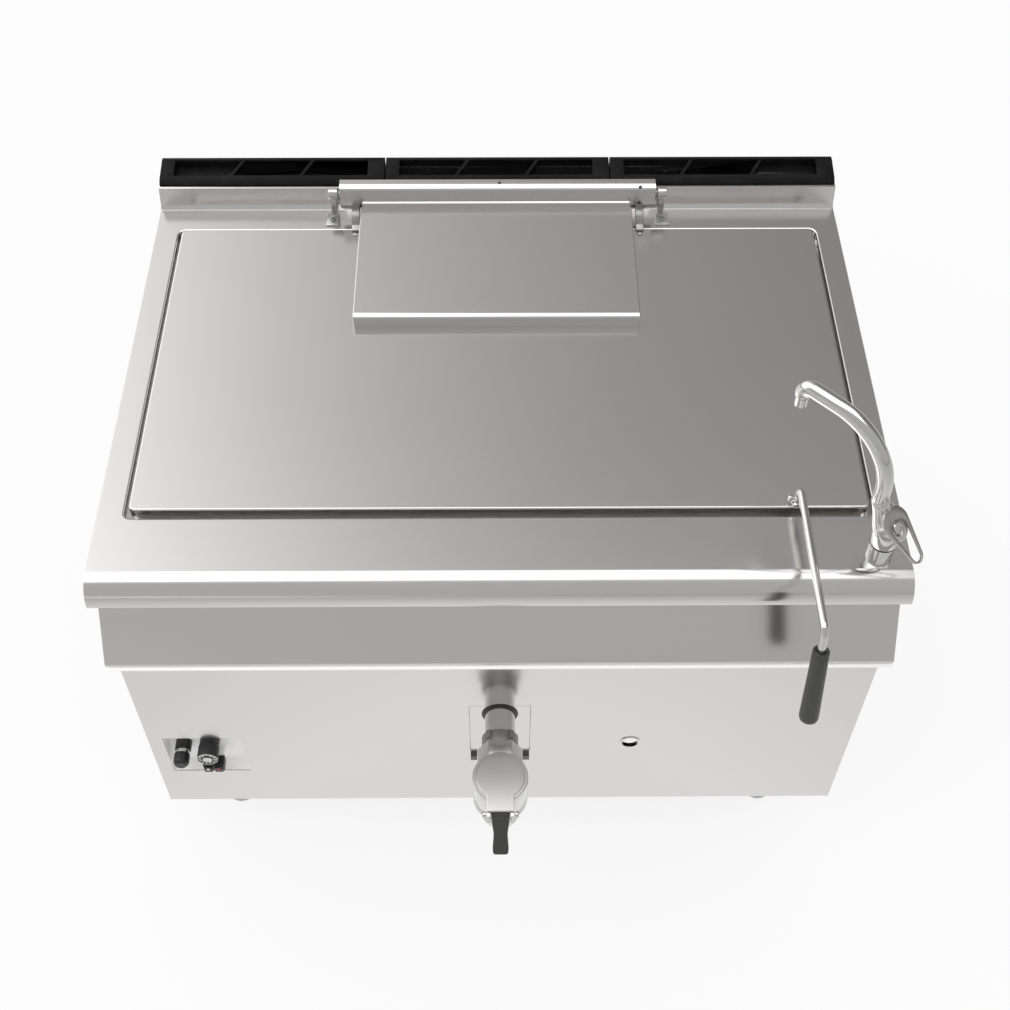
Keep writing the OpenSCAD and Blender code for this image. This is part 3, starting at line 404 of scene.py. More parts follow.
# %% [markdown]
# ## Two ways to make a piece
#
# Most pieces here start in one of two ways. A folded or cast part begins as a copy of its CAD node:
# its loose corners are merged, flat faces become one face again, and the sharp edges get the small
# radius that a press or a file leaves. That radius is what catches the thin bright lines of a real
# edge. A turned part, such as a knob, begins as a half outline that is spun about its axis. Faces on
# a curve are shaded smooth and flat faces stay flat, which keeps big sheets free of false gradients.
# Either kind then stands in for its CAD node, or is added beside one and rides on the same body.

# %% From a form to a piece
MM = 0.001
SHARP = math.radians(35)
FLAT = 0.004
NARROW = 8 * MM


def shade(form):
    """Smooth shading on the narrow faces of a curve, flat shading on the flats beside it."""
    for face in form.faces:
        turns = [edge.calc_face_angle(0.0) for edge in face.edges if len(edge.link_faces) == 2]
        narrow = face.calc_area() < NARROW * face.calc_perimeter()
        face.smooth = narrow and any(FLAT < turn < SHARP for turn in turns)
    for edge in form.edges:
        edge.smooth = len(edge.link_faces) == 2 and edge.calc_face_angle(0.0) < SHARP
    return form


body_of = {}
for body, members in frame["record"]["behaviour"]["bodies"].items():
    body_of.update(dict.fromkeys(members, body))


def add_piece(form, name, finish, beside):
    """Turns a form into a piece that rides on the body of the CAD node beside it."""
    mesh = bpy.data.meshes.new(name)
    form.to_mesh(mesh)
    form.free()
    mesh.materials.append(finish)
    piece = bpy.data.objects.new(name, mesh)
    bpy.context.scene.collection.objects.link(piece)
    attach(piece, body_of[beside])
    return piece


def stand_in(form, name, finish, node):
    """Turns a form into a piece with the given finish, which is shown in place of a CAD node."""
    piece = add_piece(form, name, finish, node)
    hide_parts(node)
    return piece


def merged_copy(node, reach=2e-6):
    """The form of a CAD node with its corners merged and its flat faces whole."""
    form = bmesh.new()
    form.from_mesh(nodes[node].data)
    bmesh.ops.remove_doubles(form, verts=form.verts, dist=reach)
    bmesh.ops.dissolve_limit(
        form,
        angle_limit=math.radians(0.4),
        use_dissolve_boundaries=False,
        verts=form.verts,
        edges=form.edges,
        delimit=set(),
    )
    return form


def soften(form, width, steps=2, chosen=None):
    """Rounds the sharp edges of a form by some millimetres, or the chosen ones among them."""
    edges = [e for e in form.edges if len(e.link_faces) == 2 and e.calc_face_angle(0.0) > SHARP]
    edges = [e for e in edges if chosen is None or all(chosen(corner.co / MM) for corner in e.verts)]
    bmesh.ops.bevel(
        form,
        geom=edges,
        offset=width * MM,
        offset_type="OFFSET",
        affect="EDGES",
        segments=steps,
        profile=0.5,
        material=-1,
        clamp_overlap=True,
        loop_slide=True,
    )
    return shade(form)


print("bodies:", len(set(body_of.values())))

# %% [markdown]
# ## Sheets with rounded folds
#
# The worktop, the lid, the fascia and the covers are folded from sheet, so each outer edge is a bend
# and not a knife edge. Half a millimetre is enough for most edges at this distance. The edge of the
# lid's top and the worktop's edge round its opening are pressed to a wider bend, which draws a bright
# line of its own, so those edges are picked out by their place and rounded first.

# %% Sheets with rounded folds
WORKTOP_Z, LID_TOP = 850, 858
OPENING_HALF, OPENING_FRONT, OPENING_BACK = 560, -216, 424


def softened(node, name, finish, width, steps=2, bend=0.0, chosen=None):
    form = merged_copy(node)
    if bend:
        soften(form, bend, 5, chosen)
    piece = stand_in(soften(form, width, steps), name, finish, node)
    return len(piece.data.polygons)


def round_opening(corner, slack=0.5):
    inside = OPENING_FRONT - slack < corner.y < OPENING_BACK + slack
    return inside and abs(corner.x) < OPENING_HALF + slack and abs(corner.z - WORKTOP_Z) < 0.1


def lid_top(corner):
    return corner.z > LID_TOP - 0.1


print("worktop", softened("worktop", "worktop_sheet", steel, 0.8, 3, 3.2, round_opening))
print("lid", softened("lid_panel", "lid_sheet", steel, 0.5, 2, 2.4, lid_top))
print("fascia", softened("control_fascia", "fascia_sheet", steel, 0.7))
print("front", softened("front_panel", "front_sheet", steel, 0.5))
print("slot plate", softened("slot_cover", "slot_plate", steel, 0.5))
for side in ("left", "centre", "right"):
    print("grille", side, softened(f"flue_grille_{side}", f"grille_{side}", black_enamel, 1.2))

# %% [markdown]
# ## New forms: turned, drawn out and cut
#
# Three small tools make every piece that the CAD model leaves plain. `turned` spins a half outline
# about an axis, `cut_plate` gives an outline a thickness, and a `Tube` is a ring of corners that is
# drawn out, bent and narrowed step by step. All three work in millimetres, and `placed` moves the
# result to its place in metres. `together` joins forms that are cast or welded in one. A plate grows
# upwards, and two turns bring it where it is needed: SIDEWAYS takes an outline in (y, z) and lets its
# thickness run along x, and FACING stands an outline in (x, z) up to face the user.

# %% Turned, cut and drawn forms
def placed(form, where):
    """Brings a form in millimetres to its place in metres."""
    bmesh.ops.transform(form, matrix=Matrix.Scale(MM, 4) @ where, verts=form.verts)
    bmesh.ops.recalc_face_normals(form, faces=form.faces)
    return shade(form)


def turned(outline, place=(0, 0, 0), along=(0, 0, 1), where=Matrix.Identity(4), steps=40):
    """A half outline of (radius, distance) pairs, spun about a line through place."""
    form = bmesh.new()
    corners = [form.verts.new((r, 0, t)) for r, t in outline]
    edges = [form.edges.new(pair) for pair in zip(corners, corners[1:])]
    bmesh.ops.spin(
        form,
        geom=corners + edges,
        cent=(0, 0, 0),
        axis=(0, 0, 1),
        angle=2 * math.pi,
        steps=steps,
        use_merge=True,
    )
    bmesh.ops.remove_doubles(form, verts=form.verts, dist=1e-4)
    way = Vector(along).to_track_quat("Z", "Y").to_matrix().to_4x4()
    return placed(form, where @ Matrix.Translation(place) @ way)


def cut_plate(outline, thickness, where, round_off=0.0, steps=2):
    """An outline of (x, y) pairs with a thickness along z, and its edges rounded."""
    form = bmesh.new()
    face = form.faces.new([form.verts.new((x, y, 0)) for x, y in outline])
    grown = bmesh.ops.extrude_face_region(form, geom=[face])["geom"]
    raised = [item for item in grown if isinstance(item, bmesh.types.BMVert)]
    bmesh.ops.translate(form, vec=(0, 0, thickness), verts=raised)
    placed(form, where)
    return soften(form, round_off, steps) if round_off else form


def together(*forms):
    """One form of several, which pass through a mesh for a moment."""
    whole = bmesh.new()
    for form in forms:
        part = bpy.data.meshes.new("part")
        form.to_mesh(part)
        form.free()
        whole.from_mesh(part)
        bpy.data.meshes.remove(part)
    return whole


class Tube:
    """A capped ring of corners that is drawn out, bent and narrowed."""

    def __init__(self, place, radius, sides=28):
        self.form = bmesh.new()
        start = Matrix.Translation(place)
        bmesh.ops.create_circle(self.form, cap_ends=True, segments=sides, radius=radius, matrix=start)
        self.ring = list(self.form.edges)
        self.corners = list(self.form.verts)

    def out(self, way=(0, 0, 0), scale=1.0):
        grown = bmesh.ops.extrude_edge_only(self.form, edges=self.ring)["geom"]
        self.corners = [item for item in grown if isinstance(item, bmesh.types.BMVert)]
        new = set(self.corners)
        edges = [item for item in grown if isinstance(item, bmesh.types.BMEdge)]
        self.ring = [edge for edge in edges if set(edge.verts) <= new]
        bmesh.ops.translate(self.form, vec=way, verts=self.corners)
        if scale != 1.0:
            centre = sum((corner.co for corner in self.corners), Vector()) / len(self.corners)
            space = Matrix.Translation(-centre)
            bmesh.ops.scale(self.form, vec=(scale,) * 3, space=space, verts=self.corners)
        return self

    def bend(self, centre, axis, degrees, steps):
        turn = Matrix.Rotation(math.radians(degrees) / steps, 3, axis)
        for _ in range(steps):
            self.out()
            bmesh.ops.rotate(self.form, cent=centre, matrix=turn, verts=self.corners)
        return self

    def done(self, where=Matrix.Identity(4)):
        bmesh.ops.edgeloop_fill(self.form, edges=self.ring)
        return placed(self.form, where)


def arc(centre_x, centre_y, radius, start, end, steps):
    """Points of an arc, with its angles in degrees."""
    angles = [math.radians(start + (end - start) * i / steps) for i in range(steps + 1)]
    return [(centre_x + radius * math.cos(a), centre_y + radius * math.sin(a)) for a in angles]


def shift(x, y, z):
    return Matrix.Translation((x, y, z))


SIDEWAYS = Matrix(((0, 0, 1, 0), (1, 0, 0, 0), (0, 1, 0, 0), (0, 0, 0, 1)))
FACING = Matrix.Rotation(math.pi / 2, 4, "X")
print("a plate on SIDEWAYS grows along", [round(v) for v in SIDEWAYS @ Vector((0, 0, 1))])

# %% [markdown]
# ## The filling tap
#
# The tap is the finest piece of the pan. Its head is cast: a short drum on the column, a ball, a
# stub that leans back under the lever and a neck that leans forward into the spout, with an ear at
# each side for the lever's pivot. A seal shows as a dark line under the head. The tap's own frame
# stands on its column, with x towards the end of the spout.

# %% Tap head
TAP = shift(552, -292, 0) @ Matrix.Rotation(math.radians(135), 4, "Z")
HEAD_LOW, HEAD_Z, HEAD_R = 887.3, 916, 20.5
LEVER_SLOPE = math.radians(40)
PIVOT, PIVOT_HALF = (10, 0, 956), 7.3
STUB_WAY = (-math.sin(LEVER_SLOPE), 0, math.cos(LEVER_SLOPE))
NECK_WAY = (21, 0, 48)

drum = [(0, HEAD_LOW + 1), (17, HEAD_LOW + 1), (19.3, HEAD_LOW + 1.2), (HEAD_R, HEAD_LOW + 3)]
drum += arc(0, HEAD_Z, HEAD_R, 0, 90, 10)
groove = [(12.6, 20.7), (12.4, 16.5), (8.6, 16.5), (8.4, 22.2)]
stub = [(0, 0), (20.3, 0), (20.3, 19.2), (18.9, 20.7), *groove]
stub += [(7.4, 23.4), (5, 23.4), (4.4, 21.8), (0, 21.8)]
neck = [(0, 0), (18, 0), (17.4, 12), (15.6, 22), (13.8, 33), (13.2, 44), (13, 51), (12, 52.4), (0, 52.4)]
ear = [(0, 0), (3.4, 0), (4, 0.6), (4, 3.4), (3.4, 4), (2, 4), (1.8, 3.4), (0, 3.4)]
head = [turned(drum, where=TAP)]
head.append(turned(stub, (0, 0, HEAD_Z), STUB_WAY, TAP))
head.append(turned(neck, (4, 0, HEAD_Z), NECK_WAY, TAP))
for side in (-1, 1):
    head.append(turned(ear, (PIVOT[0], side * PIVOT_HALF, PIVOT[2]), (0, side, 0), TAP, 20))
stand_in(together(*head), "tap_head_casting", polished_steel, "tap_head")

seal = [(16, 886), (19.9, 886), (19.9, HEAD_LOW + 1.1), (16, HEAD_LOW + 1.1), (16, 886)]
add_piece(turned(seal, where=TAP), "tap_head_seal", control_plastic, "tap_head")
print("the head is made of", len(head), "turned forms")

# %% [markdown]
# ## Spout and column
#
# The spout could be a curve with a round section, but its tip changes radius, so it is a ring that is
# drawn out: up from the neck, over in a wide bend, level, and down in a tight one. A groove, the
# nozzle and its bore follow from changes of scale. The column is turned, with a lock nut below.

# %% Spout and column
SPOUT_X, SPOUT_R, SPOUT_LOW, SPOUT_RISE = 25, 12, 960, 26
SPOUT_BEND, SPOUT_LEVEL, TIP_BEND = 96, 42, 17

bend_x, bend_z = SPOUT_X + SPOUT_BEND, SPOUT_LOW + SPOUT_RISE
tip_x, tip_z = bend_x + SPOUT_LEVEL, bend_z + SPOUT_BEND - TIP_BEND
spout = Tube((SPOUT_X, 0, SPOUT_LOW), SPOUT_R).out((0, 0, SPOUT_RISE))
spout.bend((bend_x, 0, bend_z), "Y", 90, 22).out((SPOUT_LEVEL, 0, 0))
spout.bend((tip_x, 0, tip_z), "Y", 90, 10)
spout.out((0, 0, -1.5)).out((0, 0, -2.5), 0.72).out((0, 0, -2.5)).out((0, 0, 0), 1.1)
spout.out((0, 0, -16.3)).out((0, 0, -1.2), 0.9).out((0, 0, 0), 0.74).out((0, 0, 12))
stand_in(spout.done(TAP), "tap_spout_tube", polished_steel, "tap_spout")

column = [(0, 827), (10, 827), (10, 849), (18.3, 850.02), (18.5, 850.5), (18, 851.4)]
column += [(18, 884), (16.8, 886.9), (8, 887), (8, 899), (0, 899)]
lock_nut = cut_plate(arc(0, 0, 17, 0, 300, 5), 10, TAP @ shift(0, 0, 838), 0.8)
stand_in(together(turned(column, where=TAP), lock_nut), "tap_column", polished_steel, "tap_base")
print("the tip is over", [round(v, 4) for v in (TAP @ Vector((tip_x + TIP_BEND, 0, 0))) * MM])

# %% [markdown]
# ## The tap's lever
#
# The lever is a flat teardrop with a long slot. Each outline is two circles and the straight lines
# that touch both. They have the same number of points, so one ring of faces between them grows into
# the plate, which is simpler than cutting a hole. A hub turns between the ears of the head.

# %% Tap lever
LEVER = TAP @ shift(*PIVOT) @ Matrix.Rotation(-LEVER_SLOPE, 4, "Y")
LEVER = LEVER @ Matrix.Rotation(math.pi, 4, "Z")


def teardrop(wide, wide_r, narrow, narrow_r, steps=24):
    """Two circles on the lever's line and the straight lines that touch both."""
    lean = math.degrees(math.asin((wide_r - narrow_r) / (narrow - wide)))
    round_end = arc(wide, 0, wide_r, 90 - lean, 270 + lean, steps)
    return round_end + arc(narrow, 0, narrow_r, lean - 90, 90 - lean, steps)


def ring_plate(outer, inner, thickness, where, round_off):
    """A flat ring between two outlines with the same number of points."""
    form = bmesh.new()
    loops = [[form.verts.new((x, y, 0)) for x, y in line] for line in (outer, inner)]
    for i in range(len(outer)):
        form.faces.new((loops[0][i - 1], loops[0][i], loops[1][i], loops[1][i - 1]))
    grown = bmesh.ops.extrude_face_region(form, geom=form.faces[:])["geom"]
    raised = [item for item in grown if isinstance(item, bmesh.types.BMVert)]
    bmesh.ops.translate(form, vec=(0, 0, thickness), verts=raised)
    return soften(placed(form, where), round_off, 3)


outer, inner = teardrop(24, 24, 81, 12.4), teardrop(36.4, 16.2, 81.6, 9)
plate = ring_plate(outer, inner, 4.6, LEVER @ shift(0, 0, -3.2), 0.8)
hub = turned([(0, -6.4), (3, -7), (3, 7), (0, 6.4)], PIVOT, (0, 1, 0), TAP, 20)
stand_in(together(plate, hub), "tap_lever_plate", lever_steel, "tap_lever")
print("each outline of the lever has", len(outer), "points")

# %% [markdown]
# ## The lid's rod and grip
#
# The rod stands on a round foot, bends forward over the lid's edge and ends in a grip. The grip is a
# moulded sleeve with a cup round the rod, a collar line and a rounded end. A small thumb screw
# beside the foot clamps the rod.

# %% Rod and grip
ROD_X, ROD_BACK, ROD_FRONT, ROD_LOW, ROD_Z = 446, -196, -448, 858.2, 888
ROD_R, ROD_CORNER, ROD_BEND, ROD_DROP = 6, 11, 14, 30
LEAN = math.radians(13)
GRIP_END = -166.1

rod = Tube((ROD_X, ROD_BACK, ROD_LOW), ROD_R, 24).out((0, 0, ROD_Z - ROD_CORNER - ROD_LOW))
rod.bend((ROD_X, ROD_BACK - ROD_CORNER, ROD_Z - ROD_CORNER), "X", 90, 8)
rod.out((0, ROD_FRONT + ROD_BEND - ROD_BACK + ROD_CORNER, 0))
rod.bend((ROD_X, ROD_FRONT + ROD_BEND, ROD_Z - ROD_BEND), "X", 90 - math.degrees(LEAN), 10)
rod.out((0, -ROD_DROP * math.sin(LEAN), -ROD_DROP * math.cos(LEAN)))
foot = [(0, 0.05), (10, 0.05), (10, 2), (9, 3), (6.8, 3.6), (6, 6), (0, 6)]
foot = turned(foot, (ROD_X, ROD_BACK, LID_TOP))
thumb = [(0, 0), (2.2, 0), (2.2, 5), (4.6, 5.6), (5, 6.4), (5, 9.6), (4.6, 10.4), (2, 10.8), (0, 10.8)]
thumb = turned(thumb, (ROD_X - 5, ROD_BACK - 1, LID_TOP + 9), (-1, 0, 0.15), steps=18)
stand_in(together(rod.done(), foot, thumb), "lid_rod", polished_steel, "handle_rod")

grip_y = ROD_FRONT + ROD_BEND * (1 - math.cos(LEAN))
grip_z = ROD_Z - ROD_BEND * (1 - math.sin(LEAN))
GRIP = shift(ROD_X, grip_y, grip_z) @ Matrix.Rotation(-LEAN, 4, "X")
grip = [(0, -ROD_DROP), (6.15, -ROD_DROP), (6.4, -28), (8.6, -26.6), (10.6, -26.1), (11.9, -27.2)]
grip += [(12.2, -29), (12.3, -35), (11.7, -35.5), (11.7, -36.3), (12.3, -36.8), (13.4, -100)]
grip += [(14.4, -152), (14.4, -158), (13.4, -162.6), (10.6, -165.2), (6, -166), (0, GRIP_END)]
stand_in(turned(grip, where=GRIP, steps=48), "lid_grip", grip_plastic, "handle_grip")
print("the grip ends at", [round(v, 3) for v in (GRIP @ Vector((0, 0, GRIP_END))) * MM])

# %% [markdown]
# ## The drain valve's cap
#
# The valve's drum is closed by a cap: a raised disc that runs out into a tongue, with a low rim round
# it. Two cheeks under the tongue hold the pin of the lever. The disc and the tongue are one outline,
# so the arc stops where the tongue's straight sides begin.

# %% Drain cap
DRAIN_Z, VALVE_Y, DRUM_TOP = 451, -461, 495
FORK = (0, -519, 483)
DISC_R, CAP_THICK, TONGUE, TONGUE_END = 38.6, 2.6, 21.5, -60
CHEEK_R, CHEEK_W = 9, 6
VALVE = shift(0, VALVE_Y, DRUM_TOP)

rim = [(0, 0.02), (43.4, 0.02), (44, 0.6), (44, 2.2), (43.2, 3), (37, 3), (0, 3)]
meeting = math.degrees(math.asin(TONGUE / DISC_R))
disc = arc(0, 0, DISC_R, -90 + meeting, 270 - meeting, 60)
disc += [(-TONGUE, TONGUE_END), (TONGUE, TONGUE_END)]
tongue = [(-TONGUE, TONGUE_END), (TONGUE, TONGUE_END), (TONGUE, -30), (-TONGUE, -30)]
cheek = arc(FORK[1], FORK[2], CHEEK_R, 180, 360, 12)
cheek += [(FORK[1] + CHEEK_R, DRUM_TOP), (FORK[1] - CHEEK_R, DRUM_TOP)]
cap = [turned(rim, where=VALVE, steps=72)]
cap.append(cut_plate(disc, CAP_THICK, VALVE @ shift(0, 0, 2.4), 0.9, 3))
cap.append(cut_plate(tongue, CAP_THICK, VALVE, 0.5))
for x in (-TONGUE, TONGUE - CHEEK_W):
    cap.append(cut_plate(cheek, CHEEK_W, shift(x, 0, 0) @ SIDEWAYS, 0.8))
stand_in(together(*cap), "drain_cap_plate", satin_cast, "drain_cap")
print("the tongue meets the disc", round(meeting), "degrees off its middle")

# %% [markdown]
# ## The drain valve's body
#
# The pipe leaves the front panel through a black collar, which is painted shade: it stands in for
# the shadow in the gap round the pipe. A six-sided nut and a ring with two lugs follow, and then the
# valve. The ring and the body have the right shape in the CAD model, so only their edges are
# rounded, while the nut is cut anew with a flat side on top. The ring's dark tint is painted shade.

# %% Drain valve body
TOWARDS_USER = (0, -1, 0)
FRONT_Y, NUT_Y, NUT_R, NUT_LONG = -321, -386.3, 37, 27.4

print("valve body", softened("drain_body", "drain_valve_body", polished_steel, 1.6, 3))
# The lug ring's dark tint is painted shade.
print("ring", softened("drain_ring", "drain_lug_ring", rough_cast_painted_shade, 1.1, 3))
nut = cut_plate(arc(0, 0, NUT_R, 0, 300, 5), NUT_LONG, shift(0, NUT_Y, DRAIN_Z) @ FACING, 1.6, 3)
stand_in(nut, "drain_hex_nut", cast_steel, "drain_nut")

# The black collar is painted shade: it stands in for the shadow in the gap round the pipe.
collar = [(25.2, -1), (29.5, -1), (30.4, 0.2), (30, 1.6), (28, 2.4), (25.2, 2.4), (25.2, -1)]
collar = turned(collar, (0, FRONT_Y, DRAIN_Z), TOWARDS_USER)
add_piece(collar, "drain_collar_painted_shade", control_plastic, "drain_pipe")

# %% [markdown]
# ## The drain valve's lever
#
# The lever has a moulded handle on a knuckle, and a steel pin with a head at each end. Its crank
# reaches back into the valve and ends in a fork, which lifts the plug. Half of each outline is
# written, and the other half is its mirror image.

# %% Drain lever
ACROSS = (1, 0, 0)
HANDLE_SLOPE, HANDLE_LEN, HANDLE_THICK = math.radians(58), 64.2, 11.4
CRANK_SLOPE, CRANK_THICK = math.radians(24), 5.6

half = [(13.6, -7), (13.8, 6), (13, 16), (11.2, 30), (11, 36), (11.6, 46)]
half += [(12.6, HANDLE_LEN - 5), (12, HANDLE_LEN + 3), (9.5, HANDLE_LEN + 5.6)]
outline = [(x, -y) for x, y in half] + [(-x, -y) for x, y in reversed(half)]
HANDLE = shift(*FORK) @ Matrix.Rotation(HANDLE_SLOPE, 4, "X")
handle = cut_plate(outline, HANDLE_THICK, HANDLE @ shift(0, 0, -HANDLE_THICK / 2), 2.6, 4)
knuckle = [(0, -14.4), (7, -14.4), (8, -13.4), (8, 13.4), (7, 14.4), (0, 14.4)]
handle = together(handle, turned(knuckle, FORK, ACROSS))
stand_in(handle, "drain_lever_grip", grip_plastic, "drain_lever")

pin = [(0, -28.7), (4, -28.7), (5.4, -27.8), (6, -26.6), (6, -24.8), (3.5, -24.6)]
pin += [(r, -t) for r, t in reversed(pin)]
CRANK = shift(*FORK) @ Matrix.Rotation(-CRANK_SLOPE, 4, "X")
reach = (VALVE_Y - FORK[1]) / math.cos(CRANK_SLOPE)
crank = [(-8, 0), (8, 0), (8, reach + 9), (5.7, reach + 9), (5.7, reach - 13)]
crank += [(-x, y) for x, y in reversed(crank[2:])]
crank = cut_plate(crank, CRANK_THICK, CRANK @ shift(0, 0, -CRANK_THICK / 2), 0.5)
pin = together(turned(pin, FORK, ACROSS), crank)
add_piece(pin, "drain_lever_pin", polished_steel, "drain_lever")
print("the crank reaches", round(reach, 1), "mm")

# %% [markdown]
# ## The fascia's rolled edge
#
# The fascia's lower edge is rolled back under it. The roll mirrors the floor, which draws a white
# line above the front panel. A pale matt sheet paints that reflection, so the line shows at every
# angle.

# %% Fascia edge
FASCIA_W, EDGE_Y, EDGE_Z = 1202, -361.8, 666

edge = [(0, 0), (2.6, 0.4), (4.1, 1.9), (4.7, 4.4)]
edge += [(r, FASCIA_W - t) for r, t in reversed(edge)]
edge = turned(edge, (-FASCIA_W / 2, EDGE_Y, EDGE_Z), ACROSS, steps=28)
# The pale matt sheet paints the floor's reflection on the roll.
add_piece(edge, "fascia_rolled_edge", pale_reflection_sheet, "control_fascia")
print("the rolled edge is", FASCIA_W, "mm long")

# %% [markdown]
# ## The cover over the hinge arms
#
# The cover is one sheet: it rises from the lid, rolls over and runs level to the back, where a lip
# turns up against the housing. A press leaves a wide bend that ends in a tighter one, so the roll is
# two arcs. The cover is a block first, without the faces below and behind. Then its side edges are
# rounded and it gets the thickness of the sheet. The lip is a thin outline that is drawn out
# sideways.

# %% Hinge cover
COVER_LEFT, COVER_W, COVER_FRONT, COVER_TOP, COVER_BACK = -239.3, 473, 175.9, 890.6, 437
COVER_SHEET, LIP_SHEET, LIP_R, HOUSING_FACE = 1.2, 1.4, 14.5, 449


def sheet_profile(line, thickness):
    """A folded sheet's outline in (y, z): the line and a copy of it set off to its right."""
    inner = []
    for i, point in enumerate(line):
        before, after = line[max(i - 1, 0)], line[min(i + 1, len(line) - 1)]
        way = (Vector(after) - Vector(before)).normalized()
        inner.append((point[0] + thickness * way.y, point[1] - thickness * way.x))
    return line + inner[::-1]


def double_bend(y, z, wide, tight, turn=32):
    """Points of a bend from the top to the front: a wide arc that ends in a tight one."""
    first = arc(y, z - wide, wide, 90, 90 + turn, 8)
    lean = math.radians(turn)
    centre = (y - (wide - tight) * math.sin(lean), z - wide + (wide - tight) * math.cos(lean))
    return first + arc(*centre, tight, 90 + turn, 180, 8)[1:]


roll = double_bend(COVER_FRONT + 10, 881.2, 16, 3.2)[::-1]
outline = [(COVER_FRONT, LID_TOP + 0.1), *roll, (COVER_BACK, COVER_TOP)]
outline += [(COVER_BACK, 874), (411, LID_TOP + 0.1)]
shell = cut_plate(outline, COVER_W, shift(COVER_LEFT, 0, 0) @ SIDEWAYS)
open_sides = [face for face in shell.faces if face.normal.z < -0.4 or face.normal.y > 0.4]
bmesh.ops.delete(shell, geom=open_sides, context="FACES")
steep = math.radians(69)
folds = [e for e in shell.edges if len(e.link_faces) == 2 and e.calc_face_angle(0.0) > steep]
bmesh.ops.bevel(
    shell,
    geom=folds,
    offset=1.6 * MM,
    segments=4,
    profile=0.5,
    affect="EDGES",
    material=-1,
)
bmesh.ops.solidify(shell, geom=shell.faces[:], thickness=COVER_SHEET * MM)
bmesh.ops.recalc_face_normals(shell, faces=shell.faces)

hollow = arc(HOUSING_FACE - 0.5 - LIP_R / 2, COVER_TOP + LIP_R + 0.4, LIP_R, -90, -58, 8)
end_y, end_z = hollow[-1]
hollow += [(end_y + 0.9, end_z + 0.9), (end_y + 1.3, end_z + 2.6)]
lip = sheet_profile([(COVER_BACK - 1, COVER_TOP + 0.4), *hollow], LIP_SHEET)
lip = cut_plate(lip, COVER_W - 6, shift(COVER_LEFT + 3, 0, 0) @ SIDEWAYS)
stand_in(together(shade(shell), lip), "lid_arm_cover", steel, "hinge_cover")
print("the cover has", len(folds), "folded side edges")

# %% [markdown]
# ## The hinge's housing and arms
#
# The housing is a folded tube with the same kind of bend along its front, closed below by a flat
# strip. The arms pass under it to the lid's back edge, where a weld holds each. Small socket screws
# hold the housing's lining.

# %% Hinge housing and arms
HOUSING_W, HOUSING_BACK, HOUSING_LOW, HOUSING_TOP = 550, 471, 880, 924
ARM_X, ARM_W = 249, 14
WELD = [(0, 0), (4.2, 0.2), (4.6, 1.4), (2.5, 2.6), (0, 2.8)]
SOCKET_SCREW = [(0, -4), (1.6, -4), (1.6, 0), (3.1, 0), (3.1, 0.7), (2.3, 1.3), (1.5, 1.4)]
SOCKET_SCREW += [(1.3, 0.2), (0, 0.2)]

tube = [(HOUSING_BACK, HOUSING_LOW), (HOUSING_BACK, HOUSING_TOP - 0.6), (HOUSING_BACK - 0.6, HOUSING_TOP)]
tube += [*double_bend(462.4, HOUSING_TOP, 22.5, 4), (HOUSING_FACE + 0.1, HOUSING_LOW)]
strip_low, strip_high = HOUSING_LOW + 0.2, HOUSING_LOW + 2
strip = [(HOUSING_FACE + 2, strip_low), (HOUSING_BACK - 2, strip_low)]
strip += [(HOUSING_BACK - 2, strip_high), (HOUSING_FACE + 2, strip_high)]
across = shift(-HOUSING_W / 2, 0, 0) @ SIDEWAYS
housing = [cut_plate(outline, HOUSING_W, across) for outline in (sheet_profile(tube, -2), strip)]
stand_in(together(*housing), "lid_hinge_tube", steel, "hinge_housing")

arm = [(455, 880), (440, 880), (430, 874.5), (421, 864), (410, 861.5), (410, 858.1)]
arm += [(417.4, 858.1), (417.4, 852), (424, 852), (446, 872)]
arms = []
for x in (-ARM_X, ARM_X):
    arms.append(cut_plate(arm, ARM_W, shift(x - ARM_W / 2, 0, 0) @ SIDEWAYS, 1.2, 3))
welds = [turned(WELD, (x, 404, LID_TOP), steps=16) for x in (-ARM_X, ARM_X)]
# The arms' dark tint is painted shade from the housing above them.
stand_in(together(*arms, *welds), "lid_arms", rough_cast_painted_shade, "hinge_arms")

bend_screw = turned(SOCKET_SCREW, (248, 451.4, 921.6), (0, -0.7, 0.7), steps=18)
face_screw = turned(SOCKET_SCREW, (248, HOUSING_FACE, 889.5), TOWARDS_USER, steps=18)
top_screw = turned(SOCKET_SCREW, (3, 461, HOUSING_TOP), steps=18)
screws = together(bend_screw, face_screw, top_screw)
add_piece(screws, "hinge_housing_screws", dark_steel, "hinge_housing")
print("the housing is", HOUSING_W, "mm long")

# %% [markdown]
# ## The hinge's brackets
#
# The shaft comes out of the housing at both ends and turns in a boss on each bracket. A bracket is
# cast in one: the boss, a tapered post and a foot plate, which a cap screw holds on the worktop.

# %% Hinge brackets
BOSS_X, SHAFT_Y, SHAFT_Z = 279, 460, 902
FOOT_X, FOOT_HALF, FOOT_FRONT, FOOT_BACK, FOOT_THICK = 291.5, 11.5, 434, 466, 3
BOSS = [(5.2, 0), (8.6, 0), (9.6, 1), (9.6, 16), (8.6, 17), (5.2, 17), (5.2, 0)]
POST = [(-6, 852), (6, 852), (6, 872), (4.5, 896), (-4.5, 896), (-6, 872)]
FOOT_SCREW = [(0, -11), (3, -11), (3, 0), (5, 0), (5, 1.9), (4.2, 3), (2.7, 3), (2.4, 1.2), (0, 1.2)]

